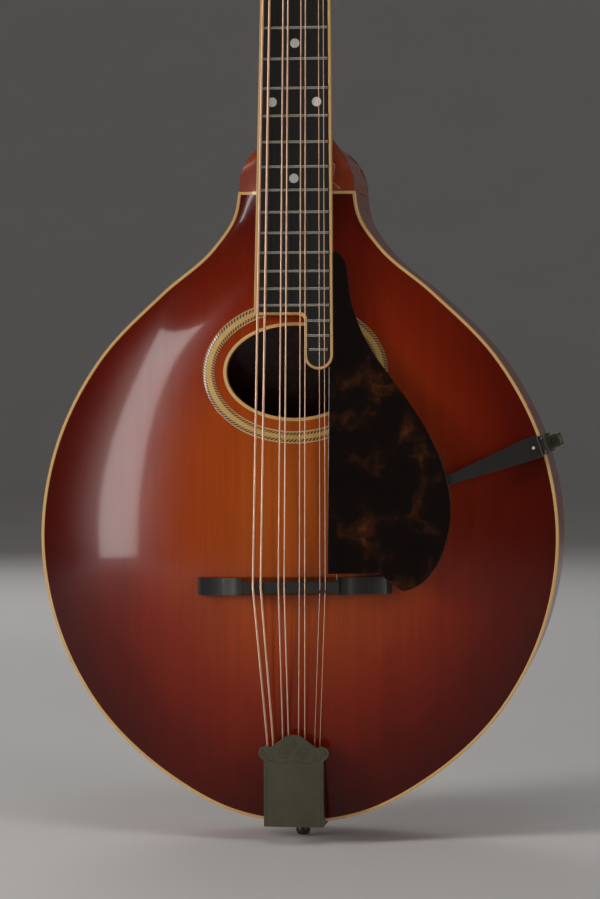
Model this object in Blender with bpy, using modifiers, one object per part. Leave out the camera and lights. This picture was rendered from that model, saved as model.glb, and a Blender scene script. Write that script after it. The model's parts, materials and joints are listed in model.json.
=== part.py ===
"""Arched-top mandocello, in metres.

X points to the treble side, Y to the back and Z along the neck.
The origin is the centre of the end pin's outer face.
"""

import math

import bmesh
import bpy
import numpy as np
from mathutils import Matrix, Vector

# Running room between pieces, and the closer fit of an inlay in its channel
GAP = 0.0003
INLAY_GAP = 0.00015

# Body
BODY_LENGTH = 0.4274  # bottom edge to the neck joint
BODY_WIDTH = 0.353
JOINT_WIDTH = 0.0792
HEEL_LENGTH = 0.0386  # how far the heel's rounded end stands past the joint
RIM_DEPTH = 0.086  # front edge of the binding to back edge of the back plate
TOP_ARCH = 0.017
BACK_ARCH = 0.016
TOP_PLATE = 0.005
BACK_PLATE = 0.005
RIB = 0.0023
BINDING_WIDTH = 0.002
LINING_WIDTH = 0.006
LINING_DEPTH = 0.011
LINING_TOE = 0.004
NECK_BLOCK = 0.038
TAIL_BLOCK = 0.03
TAIL_BLOCK_WIDTH = 0.07
BRACE_PLACE = 0.25  # middle of the cross brace above the body's bottom edge
BRACE_WIDTH = 0.008
BRACE_DEPTH = 0.012

# Outline of one side, bottom to neck joint, as shares of half the width and of the length
BODY_SHAPE = (
    (0.0, 0.0), (0.250, 0.0160), (0.499, 0.0702), (0.773, 0.1755), (0.935, 0.2995), (1.0, 0.453),
    (0.936, 0.606), (0.768, 0.737), (0.518, 0.8424), (0.321, 0.9126), (0.2397, 0.9641),
)
# The heel's rounded end, as shares of half the joint's width and of the heel's length
HEEL_SHAPE = ((0.97, 0.28), (0.85, 0.57), (0.62, 0.81), (0.0, 1.0))
STATION_SPACING = 0.024

# Arch of the plates
CROWN = 0.47  # highest place of the ridge, as a share of the body's length
RIDGE_FALL = 2.49  # how fast the ridge falls towards both ends
RIDGE_START = 0.21  # lowest point of the ridge line, as a share of the body's length
EDGE_HOLLOW = 0.8  # power that draws the arch in towards the middle, leaving a hollow edge
RING_SHARES = (0.0, 0.11, 0.30, 0.60, 1.0)

# Sound hole, its binding and the rosette, as half axes across and along
HOLE = (0.0464, 0.031)
HOLE_PLACE = 0.3057
HOLE_BINDING = 0.0022
ROSETTE_INNER = (0.0547, 0.0399)
ROSETTE_WIDTH = 0.0082
ROSETTE_DEPTH = 0.0015

# Neck and fingerboard
SCALE_LENGTH = 0.62865
FRETS = 24
JOINT_FRET = 15
BASS_LAST_FRET = 21.6  # where the bass side of the fingerboard ends, counted in frets
NECK_PITCH = math.radians(3.7)
BOARD_RISE = 0.0142  # playing surface over the body's front edge at the joint
BOARD_THICKNESS = 0.0065
NUT_WIDTH = 0.041
BOARD_FLARE = 0.0269  # gain in width for each metre of length
BOARD_BINDING = 0.0017
EXTENSION_LEFT = 0.0078
EXTENSION_END = 0.1205  # past the joint
FRET_WIDTH = 0.0018
FRET_HEIGHT = 0.001
FRET_CREST = 0.0006
NUT_THICKNESS = 0.005
NUT_STRING_HEIGHT = 0.0013  # string's underside over the board at the nut
ACTION = 0.0022  # string's underside over the fret tops at the octave
NECK_DEPTH_NUT = 0.022
NECK_DEPTH_HEEL = 0.026
TONGUE = 0.066
TONGUE_INSET = 0.003
HEEL_BLEND = 0.034  # height of the curve between the heel and the back of the neck

# Headstock
HEAD_ANGLE = math.radians(14)
HEAD_LENGTH = 0.19
HEAD_WIDTH = 0.073
HEAD_THICKNESS = 0.015
OVERLAY = 0.0018
# One side of the headstock, as shares of half its width and of its length
HEAD_SHAPE = ((0.60, 0.0), (0.63, 0.05), (0.80, 0.11), (0.95, 0.17), (1.0, 0.25), (0.97, 0.55),
              (0.91, 0.86), (0.86, 0.94), (0.66, 0.985), (0.34, 0.997), (0.0, 1.0))

# Tuning machines
TUNERS = 4  # on each side
FIRST_TUNER = 0.044
TUNER_SPACING = 0.032
POST_OFFSET = 0.025
POST_RADIUS = 0.0032
POST_REACH = 0.015
POST_SIDES = 8
WINDING_PLACE = 0.0075  # first turn of string over the headstock core's face
WINDING_TURNS = 1.75
WINDING_STEPS = 12
WINDING_ROOM = 0.00045
GEAR_TEETH = 14
GEAR_RADIUS = 0.0047  # pitch circle
GEAR_WIDTH = 0.0024
TOOTH_ADDENDUM = 0.00045
TOOTH_DEDENDUM = 0.0007
TOOTH_TIP = 0.00045
TOOTH_ROOT = 0.00105
WORM_RADIUS = 0.00225  # pitch cylinder
WORM_TURNS = 2.5
WORM_STEPS = 9
SHAFT_RADIUS = 0.0015
SHAFT_INNER = 0.0088
BUTTON_PLACE = 0.023
BUTTON_SIZE = (0.0085, 0.004, 0.0065)  # half sizes across, thick and along the shaft
WORM_HEIGHT = 0.0052  # worm's axis over the back of the headstock
STRIP_THICKNESS = 0.0012
STRIP_WIDTH = 0.017
STRIP_END = 0.0125
EAR_PLACE = 0.0062
EAR_THICKNESS = 0.0015
EAR_HALF = 0.003

# Strings, bass to treble: four courses of two, with diameters by course
COURSE_DIAMETER = (0.00188, 0.00122, 0.00086, 0.00056)
NUT_COURSE = (-0.0171, -0.00605, 0.0046, 0.01545)
NUT_PAIR = (0.004, 0.0029, 0.0026, 0.0029)
BRIDGE_COURSE = (-0.0222, -0.0058, 0.0081, 0.0218)
BRIDGE_PAIR = (0.0053, 0.0039, 0.0036, 0.0036)
TAIL_COURSE = (-0.0152, -0.0058, 0.0043, 0.0143)
TAIL_PAIR = (0.0037, 0.0039, 0.0044, 0.0036)
TAIL_PLACE = 0.036
TAIL_CLEARANCE = 0.0125  # string anchors in front of the body's front edge

# Bridge
COMPENSATION = 0.0015
BRIDGE_SLANT = math.radians(0.75)
BRIDGE_LENGTH = 0.131
BRIDGE_WIDTH = 0.0115
BRIDGE_BLOCK = 0.0655
BLOCK_TOP_WIDTH = 0.007
# Wing height at shares of the way from the block to the tip
WING_SHAPE = ((0.0, 0.0135), (0.10, 0.0098), (0.24, 0.0072), (0.50, 0.0060), (0.76, 0.0066),
              (0.92, 0.0082), (0.985, 0.0068), (1.0, 0.0035))

# Finger rest, its pin, arm and side clamp
REST_THICKNESS = 0.002
REST_DROP = 0.001  # below the playing surface
# Free edge from the fingerboard's side to the notch over the bridge: across, and along the neck from the joint
REST_EDGE = (
    (0.0276, -0.0413), (0.0343, -0.0476), (0.0370, -0.0609), (0.0385, -0.0724), (0.0427, -0.0868),
    (0.0527, -0.1074), (0.0640, -0.1234), (0.0787, -0.1434), (0.0932, -0.1669), (0.1030, -0.1904),
    (0.1063, -0.2154), (0.1037, -0.2339), (0.0952, -0.2538), (0.0840, -0.2649), (0.0740, -0.2677),
    (0.0680, -0.2639), (0.0598, -0.2568),
)
REST_PIN_RADIUS = 0.0007
REST_PIN_PLACE = 0.0302
REST_PIN_LENGTH = 0.016
REST_PIN_SEAT = 0.004
CLAMP_PLACE = 0.2565  # above the body's bottom edge
CLAMP_WIDTH = 0.013
CLAMP_PLATE = 0.0014
CLAMP_PAD = 0.0011
CLAMP_REACH = 0.0095
CLAMP_LEG = 0.030
CLAMP_BOSS = 0.006
CLAMP_SCREW_OUT = 0.0065
CLAMP_SCREW_RADIUS = 0.0015
CLAMP_OPENING = 0.004  # how far the back jaw opens
CLAMP_KNOB_RADIUS = 0.0046
CLAMP_KNOB_LENGTH = 0.0075
ARM_BLOCK = (0.0105, 0.0015)  # from and to, inward of the rim
ARM_BLOCK_HALF = 0.0075
ARM_BLOCK_HEIGHT = 0.0065
ARM_INNER = 0.072
ARM_OUTER_OF_REST = 0.061
ARM_HALF = 0.0035
ARM_THICKNESS = 0.004
ARM_DROP = 0.0022  # how far the arm's inner end lies towards the tail

# Tailpiece and end pin
PIN_DEPTH = 0.028  # pin's axis behind the front edge
PIN_REACH = 0.012
PIN_HEAD = 0.005
PIN_NECK = 0.0036
PIN_SHANK = 0.0033
PIN_INSIDE = 0.022
TAIL_WIDTH = 0.0376
TAIL_SHEET = 0.0012
TAIL_SKIRT = 0.042
TAIL_FOOT = 0.0035
TAIL_HEAD = 0.012
TAIL_LENGTH = 0.046
HOOK = 0.0016
RAIL_FRONT = 0.0172
RAIL_MARGIN = 0.004
COVER_WIDTH = 0.0404
COVER_SHEET = 0.0008
COVER_FRONT = 0.0202
COVER_SIDE = 0.0095
COVER_TRAVEL = 0.045
# One side of the cover's top edge: ear, flank and crest, as shares of half the width and of the height
COVER_HEIGHT = 0.0622
COVER_EDGE = ((1.0, 0.715), (1.12, 0.745), (1.19, 0.80), (1.12, 0.855), (0.95, 0.878), (0.80, 0.860),
              (0.65, 0.888), (0.42, 0.945), (0.22, 0.988), (0.0, 1.0))

BODY_FRAME = Matrix.Translation((0, -PIN_DEPTH, PIN_REACH))
NECK_FRAME = BODY_FRAME @ Matrix.Translation((0, -BOARD_RISE, BODY_LENGTH)) @ Matrix.Rotation(-NECK_PITCH, 4, "X")
NUT_PLACE = SCALE_LENGTH * (1 - 2 ** (-JOINT_FRET / 12))
SADDLE_PLACE = SCALE_LENGTH * 2 ** (-JOINT_FRET / 12)
HEAD_START = (0, BOARD_THICKNESS + GAP, NUT_PLACE + NUT_THICKNESS + GAP)
HEAD_FRAME = NECK_FRAME @ Matrix.Translation(HEAD_START) @ Matrix.Rotation(-HEAD_ANGLE, 4, "X")
BRIDGE_PLACE = BODY_LENGTH - SADDLE_PLACE * math.cos(NECK_PITCH) - COMPENSATION


def clear_scene():
    for thing in list(bpy.data.objects):
        bpy.data.objects.remove(thing)


def new_collection(name):
    collection = bpy.data.collections.new(name)
    bpy.context.scene.collection.children.link(collection)
    return collection


def make_material(name, colour, roughness, metallic=0.0):
    material = bpy.data.materials.new(name)
    material.use_nodes = True
    shader = material.node_tree.nodes["Principled BSDF"]
    shader.inputs["Base Color"].default_value = (*colour, 1)
    shader.inputs["Roughness"].default_value = roughness
    shader.inputs["Metallic"].default_value = metallic
    return material


def make_frame(name, matrix):
    empty = bpy.data.objects.new(name, None)
    empty.empty_display_size = 0.02
    empty.matrix_world = matrix
    parts.objects.link(empty)
    return empty


def add_mesh(name, bm, parent, material=None, smooth=False):
    """New object from a bmesh, welded, its faces turned outwards."""
    bmesh.ops.remove_doubles(bm, verts=bm.verts, dist=1e-6)
    bmesh.ops.recalc_face_normals(bm, faces=bm.faces)
    mesh = bpy.data.meshes.new(name)
    bm.to_mesh(mesh)
    bm.free()
    if smooth:
        mesh.shade_smooth()
        mesh.set_sharp_from_angle(angle=math.radians(40))
    thing = bpy.data.objects.new(name, mesh)
    thing.parent = parent
    if material:
        mesh.materials.append(material)
    parts.objects.link(thing)
    return thing


def add_rings(bm, rings, closed=False):
    """Faces between loops of equally many points; the first and last loop are capped unless closed."""
    rows = [[bm.verts.new(point) for point in ring] for ring in rings]
    pairs = list(zip(rows, rows[1:]))
    if closed:
        pairs.append((rows[-1], rows[0]))
    else:
        bm.faces.new(rows[0])
        bm.faces.new(rows[-1])
    for low, high in pairs:
        for k in range(len(low)):
            after = (k + 1) % len(low)
            bm.faces.new((low[k], low[after], high[after], high[k]))


def loft(name, rings, parent, material=None, closed=False, smooth=False):
    bm = bmesh.new()
    add_rings(bm, rings, closed)
    return add_mesh(name, bm, parent, material, smooth)


def prism(name, outline, near, far, parent, material=None, smooth=False):
    """Flat outline of (x, z) points given a thickness along Y."""
    rings = [[(x, y, z) for x, z in outline] for y in (near, far)]
    return loft(name, rings, parent, material, smooth=smooth)


def add_box(bm, low, high):
    size = [b - a for a, b in zip(low, high)]
    middle = [(a + b) / 2 for a, b in zip(low, high)]
    bmesh.ops.create_cube(bm, size=1, matrix=Matrix.Translation(middle) @ Matrix.Diagonal((*size, 1)))


def boxes(name, corners, parent, material=None):
    """One object of boxes, each given by its low and high corner."""
    bm = bmesh.new()
    for low, high in corners:
        add_box(bm, low, high)
    return add_mesh(name, bm, parent, material)


def rods(name, ends, radius, parent, sides=12):
    """One object of cylinders, each given by its two ends."""
    bm = bmesh.new()
    for start, end in ends:
        along = Vector(end) - Vector(start)
        turn = along.to_track_quat("Z", "Y").to_matrix().to_4x4()
        middle = Matrix.Translation((Vector(start) + Vector(end)) / 2)
        bmesh.ops.create_cone(bm, cap_ends=True, segments=sides, radius1=radius, radius2=radius,
                              depth=along.length, matrix=middle @ turn)
    return add_mesh(name, bm, parent)


def turned(name, profile, sides, parent, material=None):
    """Profile of (radius, height) points, top to bottom, turned round local Z."""
    mesh = bpy.data.meshes.new(name)
    mesh.from_pydata([(r, 0, h) for r, h in profile], [(k, k + 1) for k in range(len(profile) - 1)], [])
    thing = bpy.data.objects.new(name, mesh)
    thing.parent = parent
    if material:
        mesh.materials.append(material)
    parts.objects.link(thing)
    screw = thing.modifiers.new("turn", "SCREW")
    screw.steps = sides
    screw.render_steps = sides
    screw.use_merge_vertices = True
    screw.merge_threshold = 1e-6
    screw.use_normal_calculate = True
    return thing


def combine(thing, tool, operation):
    """Boolean with a hidden tool, which moves to the cutters."""
    modifier = thing.modifiers.new(tool.name, "BOOLEAN")
    modifier.operation = operation
    modifier.object = tool
    modifier.solver = "EXACT"
    tool.hide_render = True
    tool.display_type = "WIRE"
    if tool.name in parts.objects:
        parts.objects.unlink(tool)
        cutters.objects.link(tool)


def bevel(thing, width, segments=1, angle=40):
    modifier = thing.modifiers.new("bevel", "BEVEL")
    modifier.width = width
    modifier.segments = segments
    modifier.limit_method = "ANGLE"
    modifier.angle_limit = math.radians(angle)


def smooth_curve(points, start_tangent, end_tangent, spacing):
    """Curve through the points, with tangents weighted by the chords on both sides."""
    points = np.array(points, float)
    chords = np.linalg.norm(np.diff(points, axis=0), axis=1)
    slopes = np.diff(points, axis=0) / chords[:, None]
    before, after = chords[:-1, None], chords[1:, None]
    inner = (slopes[1:] * before + slopes[:-1] * after) / (before + after)
    tangents = np.vstack((start_tangent, inner, end_tangent))
    curve = [points[:1]]
    for k, chord in enumerate(chords):
        steps = max(1, round(chord / spacing))
        t = (np.arange(1, steps + 1) / steps)[:, None]
        curve.append(
            (2 * t**3 - 3 * t**2 + 1) * points[k] + (t**3 - 2 * t**2 + t) * chord * tangents[k]
            + (3 * t**2 - 2 * t**3) * points[k + 1] + (t**3 - t**2) * chord * tangents[k + 1]
        )
    return np.vstack(curve)


def half_outline():
    """Stations on the treble side, from the bottom to the heel's end, and the joint's index."""
    half, joint = BODY_WIDTH / 2, JOINT_WIDTH / 2
    body = [(s * half, t * BODY_LENGTH) for s, t in BODY_SHAPE] + [(joint, BODY_LENGTH)]
    heel = [(s * joint, BODY_LENGTH + t * HEEL_LENGTH) for s, t in HEEL_SHAPE]
    stations = smooth_curve(body + heel, (1, 0), (-1, 0), STATION_SPACING)
    return stations, int(np.abs(stations[:, 1] - BODY_LENGTH).argmin())


def inset(points, distance):
    """Half outline moved inwards along its normals."""
    mirror = np.array((-1, 1))
    padded = np.vstack((points[1] * mirror, points, points[-2] * mirror))
    along = padded[2:] - padded[:-2]
    along /= np.linalg.norm(along, axis=1)[:, None]
    return points + distance * np.column_stack((-along[:, 1], along[:, 0]))


def whole_loop(half):
    """Both sides of the outline as one loop."""
    return np.vstack((half, half[-2:0:-1] * (-1, 1)))


def half_width(z):
    return np.interp(z, stations[:, 1], stations[:, 0])


def ridge_place(z):
    """Point on the ridge line that the plate rises to from the outline at height z."""
    low = CROWN * BODY_LENGTH
    lift = RIDGE_START * BODY_LENGTH * np.clip(1 - z / low, 0, 1) ** 2
    past = np.clip((z - BODY_LENGTH) / HEEL_LENGTH, 0, 1)
    return z + lift - HEEL_LENGTH / 2 * past**2


def arch_share(x, z):
    """Share of the full arch height over a point: nothing on the outline, most on the ridge."""
    x, z = np.broadcast_arrays(np.maximum(np.abs(np.asarray(x, float)), 1e-5), np.asarray(z, float))
    low, high = np.zeros(x.shape), np.full(x.shape, BODY_LENGTH + HEEL_LENGTH)
    for _ in range(40):
        middle = (low + high) / 2
        inward = 1 - x / np.maximum(half_width(middle), 1e-9)
        below = middle + (ridge_place(middle) - middle) * inward < z
        low, high = np.where(below, middle, low), np.where(below, high, middle)
    inward = np.clip(1 - x / np.maximum(half_width(high), 1e-9), 0, 1)
    ridge = 1 - RIDGE_FALL * (ridge_place(high) / BODY_LENGTH - CROWN) ** 2
    return ridge * (1 - np.cos(math.pi * inward**EDGE_HOLLOW)) / 2


def front_depth(x, z):
    """Depth of the top's outer surface behind the front edge: negative over the arch."""
    return -TOP_ARCH * arch_share(x, z)


def back_depth(x, z):
    return RIM_DEPTH + BACK_ARCH * arch_share(x, z)


def arched_solid(name, margin, front, back, parent, material=None):
    """Body inside the outline between two arched surfaces, ringed from the edge to the ridge."""
    loop = whole_loop(inset(stations, margin))
    ridge = whole_loop(np.column_stack((np.zeros(len(stations)), ridge_place(stations[:, 1]))))
    bm = bmesh.new()
    rims = []
    for depth in (front, back):
        rows = []
        for share in RING_SHARES:
            flat = loop * (1 - share) + ridge * share
            y = depth(flat[:, 0], flat[:, 1])
            rows.append([bm.verts.new(p) for p in zip(flat[:, 0], y, flat[:, 1])])
        rims.append(rows[0])
        for low, high in zip(rows, rows[1:]):
            for k in range(len(low)):
                after = (k + 1) % len(low)
                bm.faces.new((low[k], low[after], high[after], high[k]))
    for k in range(len(loop)):
        after = (k + 1) % len(loop)
        bm.faces.new((rims[0][k], rims[0][after], rims[1][after], rims[1][k]))
    bmesh.ops.remove_doubles(bm, verts=bm.verts, dist=1e-6)
    doubled = [f for f in bm.faces if len(set(f.verts)) < 3 or f.calc_area() < 1e-12]
    bmesh.ops.delete(bm, geom=doubled, context="FACES_ONLY")
    return add_mesh(name, bm, parent, material, smooth=True)


def plates():
    """Carved top and back; the back runs on over the heel as its button."""
    top = arched_solid(
        "top_plate", BINDING_WIDTH + INLAY_GAP, front_depth,
        lambda x, z: front_depth(x, z) + TOP_PLATE, body_frame, spruce,
    )
    end = BODY_LENGTH - BINDING_WIDTH - INLAY_GAP
    keep = boxes("top_end_cutter", [((-1, -1, -1), (1, 1, end))], body_frame)
    combine(top, keep, "INTERSECT")
    opening = prism("hole_cutter", oval(HOLE, HOLE_BINDING + INLAY_GAP), -0.1, 0.1, body_frame)
    combine(top, opening, "DIFFERENCE")
    channel = ring_on_top("rosette_cutter", ROSETTE_INNER, -INLAY_GAP, ROSETTE_WIDTH + INLAY_GAP,
                          -0.01, ROSETTE_DEPTH + INLAY_GAP, body_frame)
    combine(top, channel, "DIFFERENCE")
    arched_solid("back_plate", 0, lambda x, z: back_depth(x, z) - BACK_PLATE, back_depth, body_frame, maple)


def oval(axes, out, points=36):
    """Points round the sound hole's centre, out from the oval of the given half axes."""
    turn = (np.arange(points) + 0.5) * math.tau / points
    return np.column_stack(((axes[0] + out) * np.cos(turn), HOLE_PLACE + (axes[1] + out) * np.sin(turn)))


def ring_on_top(name, axes, inner, outer, over, under, parent, material=None):
    """Oval ring that follows the top's arch, from over to under its surface."""
    inside, outside = oval(axes, inner), oval(axes, outer)
    rings = []
    for near, far in zip(inside, outside):
        low, high = front_depth(*near), front_depth(*far)
        rings.append([(near[0], low + over, near[1]), (far[0], high + over, far[1]),
                      (far[0], high + under, far[1]), (near[0], low + under, near[1])])
    return loft(name, rings, parent, material, closed=True, smooth=True)


def hole_trim():
    ring_on_top("soundhole_binding", HOLE, 0, HOLE_BINDING, 0, TOP_PLATE, body_frame, ivoroid)
    ring_on_top("rosette", ROSETTE_INNER, 0, ROSETTE_WIDTH, 0, ROSETTE_DEPTH, body_frame, rosette_wood)


def top_binding():
    """Strip round the top's edge, with a cross strip over the end at the neck joint."""
    outer = stations[: joint_index + 1].copy()
    inner = inset(stations, BINDING_WIDTH)[: joint_index + 1]
    end = BODY_LENGTH - BINDING_WIDTH
    inner[-1] = (np.interp(end, inner[-2:, 1], inner[-2:, 0]), end)
    across = np.linspace(JOINT_WIDTH / 2, -JOINT_WIDTH / 2, 9)[1:-1, None]
    squeeze = inner[-1, 0] / (JOINT_WIDTH / 2)
    outer_end = np.hstack((across, np.full_like(across, BODY_LENGTH)))
    inner_end = np.hstack((across * squeeze, np.full_like(across, end)))
    mirror = (-1, 1)
    outline = np.vstack((outer, outer_end, outer[:0:-1] * mirror))
    inside = np.vstack((inner, inner_end, inner[:0:-1] * mirror))
    rings = []
    for far, near in zip(outline, inside):
        high, low = front_depth(*far), front_depth(*near)
        rings.append([(far[0], high, far[1]), (far[0], high + TOP_PLATE, far[1]),
                      (near[0], low + TOP_PLATE, near[1]), (near[0], low, near[1])])
    loft("top_binding", rings, body_frame, ivoroid, closed=True)


def side_strip(name, side, near_inset, far_inset, front, back, toe, material):
    """Strip along one side of the body from the tail seam to the neck joint."""
    outer = inset(stations, near_inset)[: joint_index + 1]
    inner = inset(stations, far_inset)[: joint_index + 1]
    outer[0, 0] = inner[0, 0] = INLAY_GAP
    rings = []
    for far, near in zip(outer, inner):
        rings.append([(side * far[0], front, far[1]), (side * far[0], back, far[1]),
                      (side * near[0], back - max(toe, 0), near[1]),
                      (side * near[0], front - min(toe, 0), near[1])])
    return loft(name, rings, body_frame, material, smooth=True)


def ribs_and_linings():
    """Bent ribs, and the tapered strips that glue them to the plates."""
    tail_half = TAIL_BLOCK_WIDTH / 2 + GAP
    tail_top = TAIL_BLOCK + GAP
    neck_low = BODY_LENGTH - NECK_BLOCK - GAP
    room = boxes("lining_end_cutter", [((-tail_half, -1, -1), (tail_half, 1, tail_top)),
                                       ((-1, -1, neck_low), (1, 1, 1))], body_frame)
    pin = rods("pin_hole_cutter", [((0, PIN_DEPTH, -0.05), (0, PIN_DEPTH, PIN_INSIDE + GAP))],
               PIN_SHANK + GAP, body_frame, sides=16)
    start, end = TOP_PLATE + GAP, RIM_DEPTH - BACK_PLATE - GAP
    outer, inner = RIB + GAP, RIB + GAP + LINING_WIDTH
    for name, side in (("bass", -1), ("treble", 1)):
        rib = side_strip(f"rib_{name}", side, 0, RIB, start, end, 0, maple)
        combine(rib, pin, "DIFFERENCE")
        front = side_strip(f"lining_front_{name}", side, outer, inner, start, start + LINING_DEPTH,
                           LINING_TOE, lining_wood)
        back = side_strip(f"lining_back_{name}", side, outer, inner, end - LINING_DEPTH, end,
                          -LINING_TOE, lining_wood)
        combine(front, room, "DIFFERENCE")
        combine(back, room, "DIFFERENCE")
    return pin


def inner_solid(name, low, high, material):
    """Piece of the space inside the body between two heights, seated on both plates."""
    whole = arched_solid(
        name, RIB + GAP, lambda x, z: front_depth(x, z) + TOP_PLATE + GAP,
        lambda x, z: back_depth(x, z) - BACK_PLATE - GAP, body_frame, material,
    )
    keep = boxes(f"{name}_cutter", [(low, high)], body_frame)
    combine(whole, keep, "INTERSECT")
    return whole


def blocks_and_brace(pin):
    half = TAIL_BLOCK_WIDTH / 2
    tail = inner_solid("tail_block", (-half, -1, -1), (half, 1, TAIL_BLOCK), block_wood)
    combine(tail, pin, "DIFFERENCE")
    inner_solid("neck_block", (-1, -1, BODY_LENGTH - NECK_BLOCK), (1, 1, BODY_LENGTH), block_wood)
    low, high = BRACE_PLACE - BRACE_WIDTH / 2, BRACE_PLACE + BRACE_WIDTH / 2
    reach = half_width(high) - RIB - LINING_WIDTH - 0.002
    brace_back = TOP_PLATE + GAP + BRACE_DEPTH
    inner_solid("top_brace", (-reach, -1, low), (reach, brace_back, high), spruce)


def board_half(z):
    """Half the fingerboard's width at a distance along the neck from the joint."""
    return (NUT_WIDTH + BOARD_FLARE * (NUT_PLACE - z)) / 2


def fret_place(number):
    return SCALE_LENGTH * 2 ** (-number / 12) - SADDLE_PLACE


def board_outline(margin):
    """Fingerboard with its treble extension, drawn in by a margin on all sides but the nut end."""
    bass_end = fret_place(BASS_LAST_FRET) + margin
    left = EXTENSION_LEFT + margin
    foot = -EXTENSION_END
    right = board_half(foot) - margin
    radius = (board_half(foot) - EXTENSION_LEFT) / 2 - margin
    centre = ((left + right) / 2, foot + radius + margin)
    cove = 0.0045
    outline = [(-board_half(NUT_PLACE) + margin, NUT_PLACE), (-board_half(bass_end) + margin, bass_end)]
    for step in range(5):
        turn = math.radians(90 - 22.5 * step)
        outline.append((left - cove + cove * math.cos(turn), bass_end - cove + cove * math.sin(turn)))
    for step in range(13):
        turn = math.radians(180 + 15 * step)
        outline.append((centre[0] + radius * math.cos(turn), centre[1] + radius * math.sin(turn)))
    outline.append((board_half(NUT_PLACE) - margin, NUT_PLACE))
    return outline


def fingerboard():
    """Ebony board with its frets pressed in, and the binding round its edge."""
    margin = BOARD_BINDING + INLAY_GAP
    board = prism("fingerboard", board_outline(margin), 0, BOARD_THICKNESS, neck_frame, ebony)
    bm = bmesh.new()
    foot, crest = FRET_WIDTH / 2, FRET_CREST / 2
    for number in range(1, FRETS + 1):
        z = fret_place(number)
        right = board_half(z) - margin - GAP
        left = -right
        if z < fret_place(BASS_LAST_FRET):
            left = EXTENSION_LEFT + margin + GAP
        if number == FRETS:
            left, right = left + 0.0012, right - 0.0012
        section = ((foot, 0.0008), (foot, -FRET_HEIGHT * 0.4), (crest, -FRET_HEIGHT),
                   (-crest, -FRET_HEIGHT), (-foot, -FRET_HEIGHT * 0.4), (-foot, 0.0008))
        add_rings(bm, [[(x, y, z + dz) for dz, y in section] for x in (left, right)])
    frets = add_mesh("frets", bm, neck_frame)
    combine(board, frets, "UNION")
    outer, inner = board_outline(0), board_outline(BOARD_BINDING)
    rings = [[(far[0], 0, far[1]), (far[0], BOARD_THICKNESS, far[1]),
              (near[0], BOARD_THICKNESS, near[1]), (near[0], 0, near[1])] for far, near in zip(outer, inner)]
    loft("fingerboard_binding", rings, neck_frame, ivoroid)


def neck_section(half, top, bottom, place=None, points=12):
    """Half-round section of the neck's shaft, as points in a plane across the neck."""
    shoulder = top + 0.0025
    section = [(half, top), *(
        (half * math.cos(turn), shoulder + (bottom - shoulder) * math.sin(turn) ** 0.9)
        for turn in (math.pi * k / (points - 1) for k in range(points))
    ), (-half, top)]
    return [Vector((x, y, place or 0)) for x, y in section]


def heel():
    """Full-depth heel under the neck's foot: its front carries on the top's arch to the rounded end."""
    arc = stations[joint_index:] - (0, BODY_LENGTH)
    arc = np.vstack((arc[:1] - (0, 0.004), arc))
    loop = np.vstack((arc, arc[-2::-1] * (-1, 1)))
    reach = (1 - np.minimum(np.abs(loop[:, 0]) / (JOINT_WIDTH / 2), 1)) ** 2.5
    levels = ((0.0, 0.0), (0.004, 0.0), (0.009, 1.0), (0.014, 0.9), (0.019, 0.62), (0.025, 0.36),
              (0.033, 0.18), (0.045, 0.06), (0.060, 0.0))
    rings = []
    for share in (0.15, 0.5, 0.8):
        flat = loop * share
        y = front_depth(flat[:, 0], flat[:, 1] + BODY_LENGTH)
        rings.append(np.column_stack((flat[:, 0], y, flat[:, 1] + BODY_LENGTH)))
    for depth, push in levels:
        z = loop[:, 1] + BODY_LENGTH + push * HEEL_BLEND * reach
        rings.append(np.column_stack((loop[:, 0], np.full(len(loop), depth), z)))
    for share in (1.0, 0.8, 0.5, 0.15):
        flat = loop * share
        y = back_depth(flat[:, 0], flat[:, 1] + BODY_LENGTH) - BACK_PLATE - GAP
        rings.append(np.column_stack((flat[:, 0], y, flat[:, 1] + BODY_LENGTH)))
    return loft("heel", rings, body_frame, smooth=True)


def neck():
    """Shaft, heel, tongue under the fingerboard and headstock core as one piece of wood."""
    top = BOARD_THICKNESS + GAP
    head = HEAD_FRAME.inverted() @ NECK_FRAME
    rings = []
    for share in (0.0, 0.15, 0.35, 0.6, 0.85, 1.0):
        z = 0.004 + share * (NUT_PLACE - 0.034)
        depth = NECK_DEPTH_HEEL + (NECK_DEPTH_NUT - NECK_DEPTH_HEEL) * share
        rings.append(neck_section(board_half(z), top, depth, z))
    rings.append(neck_section(board_half(NUT_PLACE), top, NECK_DEPTH_NUT, NUT_PLACE + NUT_THICKNESS + GAP))
    inside = neck_section(board_half(NUT_PLACE) * 0.97, 0.0008, HEAD_THICKNESS - 0.001, 0.014)
    rings.append([head.inverted() @ point for point in inside])
    shaft = loft("neck", rings, neck_frame, mahogany, smooth=True)
    combine(shaft, heel(), "UNION")
    side = board_half(0) - TONGUE_INSET
    tongue = boxes("tongue", [((-side, top, -TONGUE), (side, top + 0.016, 0.008))], neck_frame)
    combine(shaft, tongue, "UNION")
    core = prism("head_core", head_outline(0), 0, HEAD_THICKNESS, head_frame)
    combine(shaft, core, "UNION")
    body_room = arched_solid("body_room_cutter", -0.001, lambda x, z: front_depth(x, z) - 2 * GAP,
                             lambda x, z: back_depth(x, z) + 0.01, body_frame)
    keep = boxes("joint_cutter", [((-1, -1, -1), (1, 1, BODY_LENGTH + GAP))], body_frame)
    combine(body_room, keep, "INTERSECT")
    combine(shaft, body_room, "DIFFERENCE")
    combine(shaft, post_holes("neck_post_cutter"), "DIFFERENCE")


def head_outline(margin):
    half = HEAD_WIDTH / 2 - margin
    side = [(s * half, t * (HEAD_LENGTH - margin)) for s, t in HEAD_SHAPE]
    return side + [(-x, z) for x, z in side[-2::-1]]


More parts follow.
